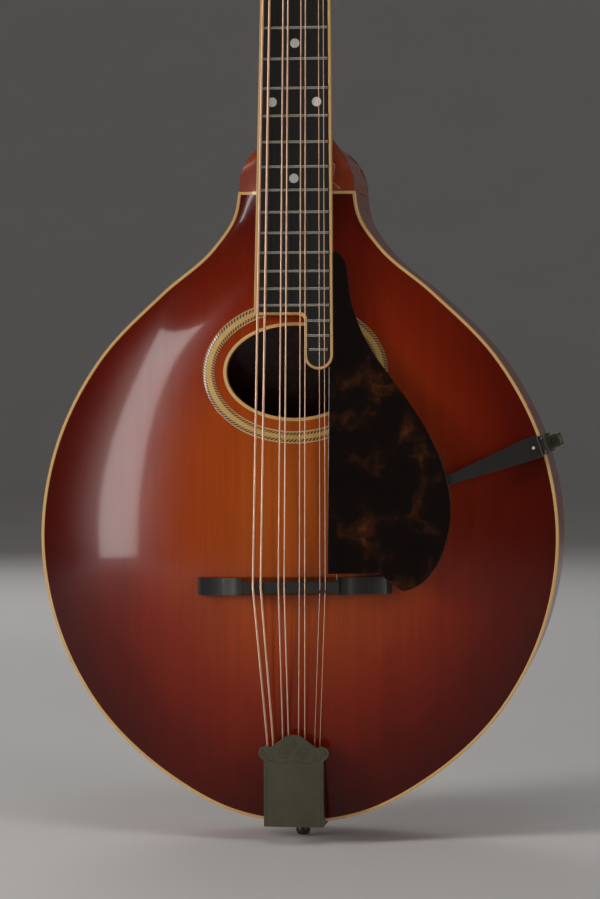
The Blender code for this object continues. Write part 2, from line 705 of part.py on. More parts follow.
def post_places():
    """Post number and place on the headstock; numbers run bass nut end to head, then treble."""
    for row, side in enumerate((-1, 1)):
        for k in range(TUNERS):
            yield row * TUNERS + k + 1, side, side * POST_OFFSET, FIRST_TUNER + k * TUNER_SPACING


def post_holes(name):
    ends = [((x, -0.05, z), (x, 0.05, z)) for _, _, x, z in post_places()]
    return rods(name, ends, POST_RADIUS + GAP, head_frame, sides=POST_SIDES)


def headstock_overlay():
    overlay = prism("headstock_overlay", head_outline(0), -GAP - OVERLAY, -GAP, head_frame, ebony)
    combine(overlay, post_holes("overlay_post_cutter"), "DIFFERENCE")


def nut():
    """Bone nut with a slot for each string."""
    start = NUT_PLACE + GAP
    half = NUT_WIDTH / 2
    top = -NUT_STRING_HEIGHT - 0.0009
    block = boxes("nut", [((-half, top, start), (half, BOARD_THICKNESS, start + NUT_THICKNESS - GAP))],
                  neck_frame, bone)
    bevel(block, 0.0006)
    slots = []
    for x, radius in zip(string_places(NUT_COURSE, NUT_PAIR), string_radii()):
        room = radius + GAP
        slots.append(((x - room, -0.02, start - 0.01), (x + room, -NUT_STRING_HEIGHT + GAP, start + 0.02)))
    combine(block, boxes("nut_slot_cutter", slots, neck_frame), "DIFFERENCE")


def string_places(courses, pairs):
    return [middle + side * gap / 2 for middle, gap in zip(courses, pairs) for side in (-1, 1)]


def string_radii():
    return [diameter / 2 for diameter in COURSE_DIAMETER for _ in range(2)]


def string_height(z):
    """String's underside over the playing surface at a distance along the neck from the joint."""
    octave = fret_place(12)
    slope = (ACTION + FRET_HEIGHT - NUT_STRING_HEIGHT) / (NUT_PLACE - octave)
    return NUT_STRING_HEIGHT + slope * (NUT_PLACE - z)


def saddle_point(x, radius):
    """Where a string's axis crosses the bridge, in the body's frame."""
    along = -SADDLE_PLACE - COMPENSATION - x * -math.tan(BRIDGE_SLANT)
    point = NECK_FRAME @ Vector((x, -string_height(along) - radius, along))
    return BODY_FRAME.inverted() @ point


def bridge():
    """Bridge with a raised middle block and scooped wings, fitted to the top's arch."""
    slant = Matrix.Rotation(-BRIDGE_SLANT, 4, "Y")
    block_half, tip = BRIDGE_BLOCK / 2, BRIDGE_LENGTH / 2
    seat = saddle_point(0, 0).y
    columns = []
    for share, height in reversed(WING_SHAPE):
        x = block_half + 0.0006 + share * (tip - block_half - 0.0006)
        columns.append((-x, height, BRIDGE_WIDTH))
    columns += [(-block_half, None, BLOCK_TOP_WIDTH), (-block_half / 3, None, BLOCK_TOP_WIDTH),
                (block_half / 3, None, BLOCK_TOP_WIDTH), (block_half, None, BLOCK_TOP_WIDTH)]
    columns += [(-x, height, width) for x, height, width in columns[len(WING_SHAPE) - 1 :: -1]]
    rings = []
    for x, height, top_width in columns:
        ring = []
        foot = max(front_depth(x, BRIDGE_PLACE + d * BRIDGE_WIDTH / 2) for d in (-1, 1))
        crest = seat - GAP if height is None else foot - height
        for across, y in ((-BRIDGE_WIDTH, None), (BRIDGE_WIDTH, None), (BRIDGE_WIDTH, 0.45),
                          (top_width, 1), (-top_width, 1), (-BRIDGE_WIDTH, 0.45)):
            dz = across / 2
            flat = slant @ Vector((x, 0, dz))
            low = float(front_depth(flat.x, BRIDGE_PLACE + flat.z)) - GAP
            ring.append((x, low if y is None else low + (crest - low) * y, dz))
        rings.append(ring)
    body = loft("bridge", rings, bridge_frame, ebony)
    for index, radius, (anchor, saddle, nut_front, _) in string_routes():
        room = (radius + GAP) / math.cos(math.pi / 8)
        for way, far in (("tail", anchor), ("nut", nut_front)):
            along = (far - saddle).normalized()
            ends = [(saddle - along * BLOCK_TOP_WIDTH / 3, saddle + along * BRIDGE_WIDTH)]
            combine(body, rods(f"bridge_slot_cutter_{way}_{index}", ends, room, None, 8), "DIFFERENCE")
    return body


def string_routes():
    """Number, radius and route of each string: hook, bridge and both edges of the nut."""
    rows = zip(string_places(TAIL_COURSE, TAIL_PAIR), string_places(BRIDGE_COURSE, BRIDGE_PAIR),
               string_places(NUT_COURSE, NUT_PAIR), string_radii())
    for index, (tail_x, bridge_x, nut_x, radius) in enumerate(rows, 1):
        level = -NUT_STRING_HEIGHT - radius
        yield index, radius, (
            BODY_FRAME @ Vector((tail_x, -TAIL_CLEARANCE, TAIL_PLACE)),
            BODY_FRAME @ saddle_point(bridge_x, radius),
            NECK_FRAME @ Vector((nut_x, level, NUT_PLACE + GAP)),
            NECK_FRAME @ Vector((nut_x, level, NUT_PLACE + NUT_THICKNESS)),
        )


def strings():
    """Eight strings, from the tailpiece's hooks over bridge and nut to their windings on the posts."""
    posts = {number: (side, x, z) for number, side, x, z in post_places()}
    order = (1, 2, 3, 4, 8, 7, 6, 5)
    least = 1.0
    for index, radius, route in string_routes():
        side, x, z = posts[order[index - 1]]
        winding = post_winding(HEAD_FRAME.inverted() @ route[-1], side, x, z, radius)
        least = min(least, winding_gap(winding, radius))
        string_tube(f"string_{index}", [*route, *(HEAD_FRAME @ point for point in winding)], radius)
    print(f"least gap between turns of string on a post: {least * 1000:.2f} mm")


def post_winding(nut_point, side, x, z, radius):
    """Points of a string's helix round a post, from where it touches on the inner side."""
    reach = POST_RADIUS + GAP + radius
    inward = Vector((-side, 0, 0))
    for _ in range(4):
        touch = Vector((x, 0, z)) + reach * inward
        along = Vector((touch.x - nut_point.x, 0, touch.z - nut_point.z)).normalized()
        inward = Vector((-side * along.z, 0, side * along.x))
    pitch = 2 * radius + WINDING_ROOM
    points = []
    for k in range(round(WINDING_TURNS * WINDING_STEPS) + 1):
        turn = math.tau * k / WINDING_STEPS
        flat = Vector((x, 0, z)) + reach * (inward * math.cos(turn) + along * math.sin(turn))
        flat.y = -WINDING_PLACE + pitch * k / WINDING_STEPS
        points.append(flat)
    return points


def winding_gap(points, radius):
    """Least distance between points more than half a turn apart, less the string's thickness."""
    distances = [(a - b).length for i, a in enumerate(points) for b in points[i + WINDING_STEPS // 2 :]]
    return min(distances) - 2 * radius


def string_tube(name, points, radius):
    curve = bpy.data.curves.new(name, "CURVE")
    curve.dimensions = "3D"
    curve.bevel_depth = radius
    curve.bevel_resolution = 1
    curve.use_fill_caps = True
    spline = curve.splines.new("POLY")
    spline.points.add(len(points) - 1)
    for point, place in zip(spline.points, points):
        point.co = (*place, 1)
    curve.materials.append(bronze)
    tube = bpy.data.objects.new(name, curve)
    parts.objects.link(tube)


def gear_outline():
    """Teeth in local XY, one of them pointing along +Y."""
    outline = []
    root, tip = GEAR_RADIUS - TOOTH_DEDENDUM, GEAR_RADIUS + TOOTH_ADDENDUM
    for tooth in range(GEAR_TEETH):
        middle = math.pi / 2 + math.tau * tooth / GEAR_TEETH
        for radius, width in ((root, -TOOTH_ROOT), (tip, -TOOTH_TIP), (tip, TOOTH_TIP), (root, TOOTH_ROOT)):
            turn = middle + width / 2 / radius
            outline.append((radius * math.cos(turn), radius * math.sin(turn)))
    return outline


def worm_thread():
    """Trapezoid thread round local Z, with a space between threads on the -X side at the middle."""
    pitch = math.tau * GEAR_RADIUS / GEAR_TEETH
    tip, root = WORM_RADIUS + TOOTH_ADDENDUM, SHAFT_RADIUS - 0.0003
    low, high = TOOTH_ROOT / 2 + 0.0001, TOOTH_TIP / 2
    rings = []
    steps = round(WORM_TURNS * WORM_STEPS)
    for k in range(steps + 1):
        turn = math.tau * (k - steps / 2) / WORM_STEPS
        z = pitch * (turn - math.pi) / math.tau + pitch / 2
        flat = (math.cos(turn), math.sin(turn))
        rings.append([(radius * flat[0], radius * flat[1], z + dz)
                      for radius, dz in ((root, -low), (tip, -high), (tip, high), (root, low))])
    return rings


def tuners():
    """Posts with their gears, and worm shafts with their buttons, both turning on their own axes."""
    worm_drop = GEAR_RADIUS + WORM_RADIUS
    worm_level = HEAD_THICKNESS + WORM_HEIGHT
    collar_low = HEAD_THICKNESS + GAP + STRIP_THICKNESS + GAP
    gear_low, gear_high = worm_level - GEAR_WIDTH / 2, worm_level + GEAR_WIDTH / 2
    cap = 0.002
    for number, side, x, z in post_places():
        profile = [(0, gear_high + 0.001), (POST_RADIUS * 0.7, gear_high + 0.001),
                   (POST_RADIUS * 1.3, gear_low), (POST_RADIUS * 1.3, collar_low),
                   (POST_RADIUS, collar_low), (POST_RADIUS, -POST_REACH + cap),
                   (POST_RADIUS * 1.15, -POST_REACH + cap * 0.8), (POST_RADIUS * 0.9, -POST_REACH),
                   (0, -POST_REACH)]
        post = turned(f"tuner_post_{number}", profile, POST_SIDES, head_frame, nickel)
        post.location = (x, 0, z)
        post.rotation_euler = (-math.pi / 2, 0, 0)
        wheel = [[(px, py, level) for px, py in gear_outline()] for level in (gear_low, gear_high)]
        combine(post, loft(f"gear_{number}", wheel, post), "UNION")
        shaft_end = BUTTON_PLACE
        shaft = turned(f"tuner_button_{number}",
                       [(0, shaft_end), (SHAFT_RADIUS, shaft_end), (SHAFT_RADIUS, -SHAFT_INNER),
                        (0, -SHAFT_INNER)], 8, head_frame, button_ivory)
        shaft.location = (x, worm_level, z - worm_drop)
        turn = Matrix.Rotation(math.pi / 2, 4, "Y")
        if side < 0:
            turn = Matrix.Rotation(math.pi, 4, "Z") @ turn
        shaft.rotation_euler = turn.to_euler()
        combine(shaft, loft(f"worm_{number}", worm_thread(), shaft), "UNION")
        bm = bmesh.new()
        place = Matrix.Translation((0, 0, BUTTON_PLACE)) @ Matrix.Diagonal((*BUTTON_SIZE, 1))
        bmesh.ops.create_uvsphere(bm, u_segments=10, v_segments=6, radius=1, matrix=place)
        combine(shaft, add_mesh(f"knob_{number}", bm, shaft), "UNION")


def tuner_strips():
    """Plate on the back of the headstock for each row, with two ears for every worm shaft."""
    back = HEAD_THICKNESS + GAP
    level = HEAD_THICKNESS + WORM_HEIGHT
    drop = GEAR_RADIUS + WORM_RADIUS
    for name, row in (("bass", -1), ("treble", 1)):
        places = [(x, z) for _, side, x, z in post_places() if side == row]
        middle = row * POST_OFFSET
        low, high = places[0][1] - STRIP_END, places[-1][1] + STRIP_END - 0.004
        strip = boxes(f"tuner_strip_{name}", [
            ((middle - STRIP_WIDTH / 2, back, low), (middle + STRIP_WIDTH / 2, back + STRIP_THICKNESS, high))
        ], head_frame, nickel)
        ears = []
        for x, z in places:
            for direction in (-1, 1):
                edges = sorted(x + direction * reach for reach in (EAR_PLACE, EAR_PLACE + EAR_THICKNESS))
                ears.append(((edges[0], back + STRIP_THICKNESS / 2, z - drop - EAR_HALF),
                             (edges[1], level + EAR_HALF, z - drop + EAR_HALF)))
        combine(strip, boxes(f"ears_{name}", ears, head_frame), "UNION")
        combine(strip, post_holes(f"strip_post_cutter_{name}"), "DIFFERENCE")
        shafts = [((x - 0.02, level, z - drop), (x + 0.02, level, z - drop)) for x, z in places]
        combine(strip, rods(f"strip_shaft_cutter_{name}", shafts, SHAFT_RADIUS + GAP, head_frame, 8), "DIFFERENCE")


def finger_rest():
    """Raised plate level with the fingerboard, cut round its extension and over the bridge."""
    radius = (board_half(-EXTENSION_END) - EXTENSION_LEFT) / 2
    centre = (EXTENSION_LEFT + radius, radius - EXTENSION_END)
    reach = radius + 2 * GAP
    left = [(centre[0] + reach * math.cos(turn), centre[1] - reach * math.sin(turn))
            for turn in (math.radians(48), math.radians(32), math.radians(16), 0)]
    left = [(left[0][0], REST_EDGE[-1][1]), *left,
            (board_half(REST_EDGE[0][1]) + 2 * GAP, REST_EDGE[0][1] - GAP)]
    outline = [tuple(p) for p in smooth_curve(REST_EDGE, (1, -0.3), (-0.7, 0.7), 0.015)] + left
    prism("finger_rest", outline, REST_DROP, REST_DROP + REST_THICKNESS, neck_frame, tortoise, smooth=True)


def rest_pin(bridge_body):
    """Pin from the underside of the finger rest into the bridge's block."""
    level = -(REST_DROP + REST_THICKNESS + GAP + REST_PIN_RADIUS)
    near = BODY_FRAME.inverted() @ NECK_FRAME @ Vector((REST_PIN_PLACE, -level, REST_EDGE[-1][1] + 0.012))
    end = Vector((near.x, near.y, BRIDGE_PLACE + BRIDGE_WIDTH / 2 - REST_PIN_SEAT))
    seat = rods("pin_seat_cutter", [(near, end - Vector((0, 0, GAP)))], REST_PIN_RADIUS + GAP, body_frame, 8)
    combine(bridge_body, seat, "DIFFERENCE")
    pin = rods("rest_pin", [(near, end)], REST_PIN_RADIUS, body_frame, 8)
    pin.data.materials.append(nickel)


def clamp_matrix():
    """Frame on the treble rim: X outwards, Y to the back, Z along the rim."""
    low, high = CLAMP_PLACE - 0.012, CLAMP_PLACE + 0.012
    along = Vector((half_width(high) - half_width(low), 0, high - low)).normalized()
    out = Vector((along.z, 0, -along.x))
    turn = Matrix((out, (0, 1, 0), along)).transposed().to_4x4()
    return BODY_FRAME @ Matrix.Translation((half_width(CLAMP_PLACE), 0, CLAMP_PLACE)) @ turn


def clamp():
    """Front and back jaw that grip the rim, drawn together by a screw with a knurled knob."""
    half = CLAMP_WIDTH / 2
    leg_in, leg_out = 0.001, 0.001 + CLAMP_PLATE
    screw = CLAMP_SCREW_OUT
    boss_half = 0.0042
    hole = SHAFT_RADIUS + GAP
    front = -CLAMP_PAD - CLAMP_PLATE
    back = RIM_DEPTH + CLAMP_PAD + CLAMP_PLATE
    jaws = (("front", front, -CLAMP_PAD, CLAMP_LEG), ("back", back, RIM_DEPTH + CLAMP_PAD, RIM_DEPTH - CLAMP_LEG))
    for name, outer, inner, leg in jaws:
        low, high = sorted((outer, inner))
        jaw = boxes(f"clamp_{name}_jaw", [((-CLAMP_REACH, low, -half), (leg_out, high, half))],
                    clamp_frame, nickel)
        low, high = sorted((outer, leg))
        side = boxes(f"{name}_jaw_leg", [((leg_in, low, -half), (leg_out, high, half))], clamp_frame)
        combine(jaw, side, "UNION")
        low, high = sorted((leg, leg + CLAMP_BOSS * (-1 if name == "front" else 1)))
        boss = boxes(f"{name}_jaw_boss", [((leg_in + CLAMP_PLATE / 2, low, -boss_half),
                                           (screw + boss_half, high, boss_half))], clamp_frame)
        combine(jaw, boss, "UNION")
        bore = rods(f"{name}_jaw_cutter", [((screw, -0.1, 0), (screw, 0.2, 0))], hole, clamp_frame, 12)
        combine(jaw, bore, "DIFFERENCE")
    start, end = CLAMP_LEG - CLAMP_BOSS - 0.002, RIM_DEPTH - CLAMP_LEG + CLAMP_BOSS + 0.002
    middle = RIM_DEPTH / 2
    knob_low, knob_high = middle - CLAMP_KNOB_LENGTH / 2, middle + CLAMP_KNOB_LENGTH / 2
    r, k = CLAMP_SCREW_RADIUS, CLAMP_KNOB_RADIUS
    profile = [(0, end), (r, end), (r, knob_high), (k * 0.88, knob_high), (k, knob_high - 0.0008),
               (k, knob_low + 0.0008), (k * 0.88, knob_low), (r, knob_low), (r, start), (0, start)]
    rod = turned("clamp_screw", profile, 16, clamp_frame, nickel)
    rod.location = (screw, 0, 0)
    rod.rotation_euler = (-math.pi / 2, 0, 0)


def rest_arm():
    """Tapered bar from under the finger rest down to its block on the clamp's front jaw."""
    to_clamp = clamp_frame.matrix_world.inverted()
    sections = []
    for reach, half in ((ARM_INNER, ARM_HALF), (ARM_OUTER_OF_REST, ARM_HALF)):
        place = clamp_frame.matrix_world @ Vector((-reach, 0, -ARM_DROP))
        level = NECK_FRAME.inverted() @ place
        under = NECK_FRAME @ Vector((level.x, REST_DROP + REST_THICKNESS + GAP, level.z))
        top = (to_clamp @ under).y
        sections.append((-reach, half, top, top + ARM_THICKNESS, -ARM_DROP))
    seat = -CLAMP_PAD - CLAMP_PLATE - GAP
    for reach in ARM_BLOCK:
        sections.append((-reach, ARM_BLOCK_HALF, seat - ARM_BLOCK_HEIGHT, seat, 0))
    rings = [[(x, top, z - half), (x, top, z + half), (x, bottom, z + half), (x, bottom, z - half)]
             for x, half, top, bottom, z in sections]
    bevel(loft("rest_arm", rings, clamp_frame, ebony), 0.0008)


def tailpiece():
    """Bent base held by the end pin, and a cover that slides off it towards the tail."""
    half = TAIL_WIDTH / 2
    sheet = TAIL_SHEET
    slope = (TAIL_HEAD - TAIL_FOOT) / TAIL_LENGTH
    floor = -GAP - sheet
    profile = [(TAIL_SKIRT, -GAP), (TAIL_SKIRT, floor), (-TAIL_FOOT - sheet, floor),
               (-TAIL_HEAD - sheet, TAIL_LENGTH), (-TAIL_HEAD, TAIL_LENGTH), (-TAIL_FOOT, -GAP)]
    rings = [[(x, y, z) for y, z in profile] for x in (-half, half)]
    base = loft("tailpiece_base", rings, body_frame, nickel)
    low, high = RAIL_MARGIN * 2, TAIL_LENGTH - RAIL_MARGIN
    rail = [(-RAIL_FRONT, low), (-RAIL_FRONT, high), (-TAIL_FOOT - sheet / 2 - slope * high, high),
            (-TAIL_FOOT - sheet / 2 - slope * low, low)]
    for side in (-1, 1):
        rings = [[(x, y, z) for y, z in rail] for x in (side * (half - 0.0004), side * (half + GAP))]
        combine(base, loft(f"tail_rail_{side}", rings, body_frame), "UNION")
    hooks = []
    for x, radius in zip(string_places(TAIL_COURSE, TAIL_PAIR), string_radii()):
        low = TAIL_PLACE - GAP - HOOK
        surface = -TAIL_FOOT - sheet - slope * low
        hooks.append(((x - HOOK / 2, -TAIL_CLEARANCE - radius - 0.0012, low),
                      (x + HOOK / 2, surface + 0.0008, low + HOOK)))
    combine(base, boxes("tail_hooks", hooks, body_frame), "UNION")
    hole = rods("skirt_cutter", [((0, PIN_DEPTH, -0.01), (0, PIN_DEPTH, 0.01))], PIN_SHANK + GAP, body_frame, 16)
    combine(base, hole, "DIFFERENCE")
    cover(half)


def cover(base_half):
    """Cover with eared and crested top edge, side flanges and a closed tail end."""
    width = COVER_WIDTH / 2
    side = [(s * width, t * COVER_HEIGHT) for s, t in COVER_EDGE]
    outline = [(width, 0), *side, *[(-x, z) for x, z in side[-2::-1]], (-width, 0)]
    plate = prism("tailpiece_cover", outline, -COVER_FRONT - COVER_SHEET, -COVER_FRONT, body_frame, nickel)
    walls = []
    for direction in (-1, 1):
        edges = sorted((direction * width, direction * (width - COVER_SHEET)))
        walls.append(((edges[0], -COVER_FRONT - COVER_SHEET / 2, 0),
                      (edges[1], -COVER_SIDE, COVER_EDGE[0][1] * COVER_HEIGHT)))
    for index, wall in enumerate(walls):
        combine(plate, boxes(f"cover_wall_{index}", [wall], body_frame), "UNION")
    end = boxes("cover_end", [((-width + COVER_SHEET / 2, -COVER_FRONT - COVER_SHEET / 2, 0),
                               (width - COVER_SHEET / 2, -TAIL_FOOT - TAIL_SHEET - 0.0012, COVER_SHEET))],
                body_frame)
    combine(plate, end, "UNION")


def end_pin():
    """Turned pin through the tailpiece's skirt and the ribs into the tail block."""
    low = -PIN_REACH
    shoulder = -GAP - TAIL_SHEET - GAP
    profile = [(0, PIN_INSIDE), (PIN_SHANK * 0.85, PIN_INSIDE), (PIN_SHANK, shoulder), (PIN_NECK * 1.25, shoulder),
               (PIN_NECK, shoulder - 0.0025), (PIN_HEAD * 0.9, shoulder - 0.0048), (PIN_HEAD, shoulder - 0.0068),
               (PIN_HEAD * 0.86, low + 0.0008), (PIN_HEAD * 0.6, low), (0, low)]
    pin = turned("end_pin", profile, 20, body_frame, ebony)
    pin.location = (0, PIN_DEPTH, 0)


clear_scene()
parts = new_collection("mandocello")
cutters = new_collection("cutters")

spruce = make_material("spruce_sunburst", (0.32, 0.05, 0.012), 0.25)
maple = make_material("stained_maple", (0.20, 0.035, 0.015), 0.25)
mahogany = make_material("stained_mahogany", (0.24, 0.04, 0.016), 0.25)
ebony = make_material("ebony", (0.012, 0.011, 0.010), 0.35)
ivoroid = make_material("ivoroid", (0.80, 0.60, 0.28), 0.4)
rosette_wood = make_material("rosette_inlay", (0.62, 0.40, 0.12), 0.4)
lining_wood = make_material("lining_willow", (0.55, 0.38, 0.20), 0.7)
block_wood = make_material("block_mahogany", (0.35, 0.17, 0.09), 0.7)
bone = make_material("bone", (0.78, 0.72, 0.58), 0.4)
bronze = make_material("bronze_wire", (0.62, 0.42, 0.28), 0.35, 1.0)
nickel = make_material("nickel_silver", (0.50, 0.48, 0.40), 0.3, 1.0)
button_ivory = make_material("button_ivory", (0.80, 0.74, 0.60), 0.35)
tortoise = make_material("tortoise_celluloid", (0.035, 0.012, 0.006), 0.15)

stations, joint_index = half_outline()
body_frame = make_frame("body_frame", BODY_FRAME)
neck_frame = make_frame("neck_frame", NECK_FRAME)
head_frame = make_frame("head_frame", HEAD_FRAME)
bridge_turn = Matrix.Rotation(-BRIDGE_SLANT, 4, "Y")
bridge_frame = make_frame("bridge_frame", BODY_FRAME @ Matrix.Translation((0, 0, BRIDGE_PLACE)) @ bridge_turn)
clamp_frame = make_frame("clamp_frame", clamp_matrix())
bpy.context.view_layer.update()

plates()
hole_trim()
top_binding()
pin_cutter = ribs_and_linings()
blocks_and_brace(pin_cutter)
fingerboard()
neck()
headstock_overlay()
nut()
bridge_body = bridge()
strings()
tuners()
tuner_strips()
finger_rest()
rest_pin(bridge_body)
clamp()
rest_arm()
tailpiece()
end_pin()
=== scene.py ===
import json
import math

import bmesh
import bpy
import numpy as np
from mathutils import Matrix, Vector


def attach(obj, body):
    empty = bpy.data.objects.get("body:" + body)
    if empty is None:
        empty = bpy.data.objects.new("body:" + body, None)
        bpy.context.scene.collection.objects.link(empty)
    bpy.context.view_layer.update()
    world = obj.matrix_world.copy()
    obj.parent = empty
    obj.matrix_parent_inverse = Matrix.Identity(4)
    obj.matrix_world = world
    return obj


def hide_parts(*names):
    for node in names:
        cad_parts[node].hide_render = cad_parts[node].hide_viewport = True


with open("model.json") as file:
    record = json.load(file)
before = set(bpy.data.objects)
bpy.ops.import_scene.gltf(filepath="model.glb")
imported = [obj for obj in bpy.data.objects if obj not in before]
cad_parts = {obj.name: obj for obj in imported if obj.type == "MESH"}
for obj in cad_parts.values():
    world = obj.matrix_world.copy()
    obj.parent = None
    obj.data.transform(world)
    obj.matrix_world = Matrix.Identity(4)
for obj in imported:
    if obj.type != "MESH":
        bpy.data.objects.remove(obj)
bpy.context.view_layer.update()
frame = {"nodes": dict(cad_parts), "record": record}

bodyOf = {node: body for body, nodes in frame["record"]["behaviour"]["bodies"].items() for node in nodes}

# Where the body's front edge plane and its bottom edge lie in the frame
origin = {"front": -0.028, "bottom": 0.012}

body = {
    "length": 0.4274, "width": 0.353, "joint": 0.0792, "heel": 0.0386, "rim": 0.086,
    "topArch": 0.017, "backArch": 0.016, "plate": 0.005, "rib": 0.0023, "binding": 0.002,
    "crown": 0.47, "ridgeFall": 2.49, "ridgeStart": 0.21, "hollow": 0.8,
    "stations": 150, "rings": 16,
}
bodyShares = (
    (0.0, 0.0), (0.250, 0.0160), (0.499, 0.0702), (0.773, 0.1755), (0.935, 0.2995), (1.0, 0.453),
    (0.936, 0.606), (0.768, 0.737), (0.518, 0.8424), (0.321, 0.9126), (0.2397, 0.9641),
)
heelShares = ((0.97, 0.28), (0.85, 0.57), (0.62, 0.81), (0.0, 1.0))


def smoothCurve(points, startTangent, endTangent, spacing):
    # cubic pieces through the points, each tangent being the mean of its two chords weighted by their lengths
    points = np.array(points, float)
    chords = np.linalg.norm(np.diff(points, axis=0), axis=1)
    slopes = np.diff(points, axis=0) / chords[:, None]
    before, after = chords[:-1, None], chords[1:, None]
    inner = (slopes[1:] * before + slopes[:-1] * after) / (before + after)
    tangents = np.vstack((startTangent, inner, endTangent))
    curve = [points[:1]]
    for k, chord in enumerate(chords):
        steps = max(2, round(chord / spacing))
        t = (np.arange(1, steps + 1) / steps)[:, None]
        curve.append(
            (2 * t**3 - 3 * t**2 + 1) * points[k] + (t**3 - 2 * t**2 + t) * chord * tangents[k]
            + (3 * t**2 - 2 * t**3) * points[k + 1] + (t**3 - t**2) * chord * tangents[k + 1]
        )
    return np.vstack(curve)


def bodyOutline():
    half, joint, length = body["width"] / 2, body["joint"] / 2, body["length"]
    points = [(s * half, t * length) for s, t in bodyShares] + [(joint, length)]
    points += [(s * joint, length + t * body["heel"]) for s, t in heelShares]
    stations = smoothCurve(points, (1, 0), (-1, 0), 0.5 / body["stations"])
    return stations, int(np.abs(stations[:, 1] - length).argmin())


stations, jointIndex = bodyOutline()


def inset(points, distance):
    mirror = np.array((-1, 1))
    padded = np.vstack((points[1] * mirror, points, points[-2] * mirror))
    along = padded[2:] - padded[:-2]
    along /= np.linalg.norm(along, axis=1)[:, None]
    return points + distance * np.column_stack((-along[:, 1], along[:, 0]))


def halfWidth(z):
    return np.interp(z, stations[:, 1], stations[:, 0])


def ridgePlace(z):
    low = body["crown"] * body["length"]
    lift = body["ridgeStart"] * body["length"] * np.clip(1 - z / low, 0, 1) ** 2
    past = np.clip((z - body["length"]) / body["heel"], 0, 1)
    return z + lift - body["heel"] / 2 * past**2


def archShare(x, z):
    # each point lies on a straight line from the outline to the ridge; the rise follows a half cosine along it
    x, z = np.broadcast_arrays(np.maximum(np.abs(np.asarray(x, float)), 1e-5), np.asarray(z, float))
    low, high = np.zeros(x.shape), np.full(x.shape, body["length"] + body["heel"])
    for _ in range(40):
        middle = (low + high) / 2
        inward = 1 - x / np.maximum(halfWidth(middle), 1e-9)
        below = middle + (ridgePlace(middle) - middle) * inward < z
        low, high = np.where(below, middle, low), np.where(below, high, middle)
    inward = np.clip(1 - x / np.maximum(halfWidth(high), 1e-9), 0, 1)
    ridge = 1 - body["ridgeFall"] * (ridgePlace(high) / body["length"] - body["crown"]) ** 2
    return ridge * (1 - np.cos(math.pi * inward ** body["hollow"])) / 2


def topDepth(x, z):
    return -body["topArch"] * archShare(x, z)


def backDepth(x, z):
    return body["rim"] + body["backArch"] * archShare(x, z)


def placed(points):
    # from the body's own frame to the shared frame
    return points + np.array((0, origin["front"], origin["bottom"]))


def surface(name, grid, material, wrapRows=False, wrapColumns=False, capEnds=False, sharp=35):
    # quads between neighbouring points of a (rows, columns, 3) grid
    rows, columns = grid.shape[:2]
    index = np.arange(rows * columns).reshape(rows, columns)
    down = np.roll(index, -1, 0) if wrapRows else index[1:]
    upper = index if wrapRows else index[:-1]
    if wrapColumns:
        quads = np.stack((upper, np.roll(upper, -1, 1), np.roll(down, -1, 1), down), -1)
    else:
        quads = np.stack((upper[:, :-1], upper[:, 1:], down[:, 1:], down[:, :-1]), -1)
    faces = quads.reshape(-1, 4).tolist()
    if capEnds:
        faces += [index[0].tolist(), index[-1].tolist()]
    mesh = bpy.data.meshes.new(name)
    mesh.from_pydata(grid.reshape(-1, 3).tolist(), [], faces)
    return finished(name, mesh, material, sharp)


def finished(name, mesh, material, sharp=35):
    bm = bmesh.new()
    bm.from_mesh(mesh)
    bmesh.ops.remove_doubles(bm, verts=bm.verts, dist=2e-6)
    bmesh.ops.recalc_face_normals(bm, faces=bm.faces)
    bm.to_mesh(mesh)
    bm.free()
    mesh.shade_smooth()
    mesh.set_sharp_from_angle(angle=math.radians(sharp))
    mesh.materials.append(material)
    piece = bpy.data.objects.new(name, mesh)
    bpy.context.scene.collection.objects.link(piece)
    return piece


def applyModifiers(piece):
    evaluated = piece.evaluated_get(bpy.context.evaluated_depsgraph_get())
    mesh = bpy.data.meshes.new_from_object(evaluated)
    piece.modifiers.clear()
    piece.data = mesh


def cut(piece, cutter):
    modifier = piece.modifiers.new("cut", "BOOLEAN")
    modifier.operation = "DIFFERENCE"
    modifier.solver = "EXACT"
    modifier.object = cutter
    bpy.context.view_layer.update()
    applyModifiers(piece)
    bpy.data.objects.remove(cutter)
    piece.data.set_sharp_from_angle(angle=math.radians(35))


def dress(piece, node, *others):
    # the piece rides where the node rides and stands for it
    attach(piece, bodyOf[node])
    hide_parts(node, *others)
    return piece


def trim(piece, node):
    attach(piece, bodyOf[node])
    return piece


class Value:
    # a shader socket that takes part in Python sums; each operator adds one Math node
    def __init__(self, shader, socket):
        self.shader, self.socket = shader, socket

    def maths(self, operation, *values):
        return self.shader.node("ShaderNodeMath", {"operation": operation}, *values)

    def __add__(self, other):
        return self.maths("ADD", self, other)

    def __radd__(self, other):
        return self.maths("ADD", other, self)

    def __sub__(self, other):
        return self.maths("SUBTRACT", self, other)

    def __rsub__(self, other):
        return self.maths("SUBTRACT", other, self)

    def __mul__(self, other):
        return self.maths("MULTIPLY", self, other)

    def __rmul__(self, other):
        return self.maths("MULTIPLY", other, self)

    def __truediv__(self, other):
        return self.maths("DIVIDE", self, other)

    def __rtruediv__(self, other):
        return self.maths("DIVIDE", other, self)

    def __pow__(self, other):
        return self.maths("POWER", self, other)

    def __gt__(self, other):
        return self.maths("GREATER_THAN", self, other)

    def __lt__(self, other):
        return self.maths("LESS_THAN", self, other)

    def clamped(self):
        return self.shader.node("ShaderNodeClamp", {}, self)


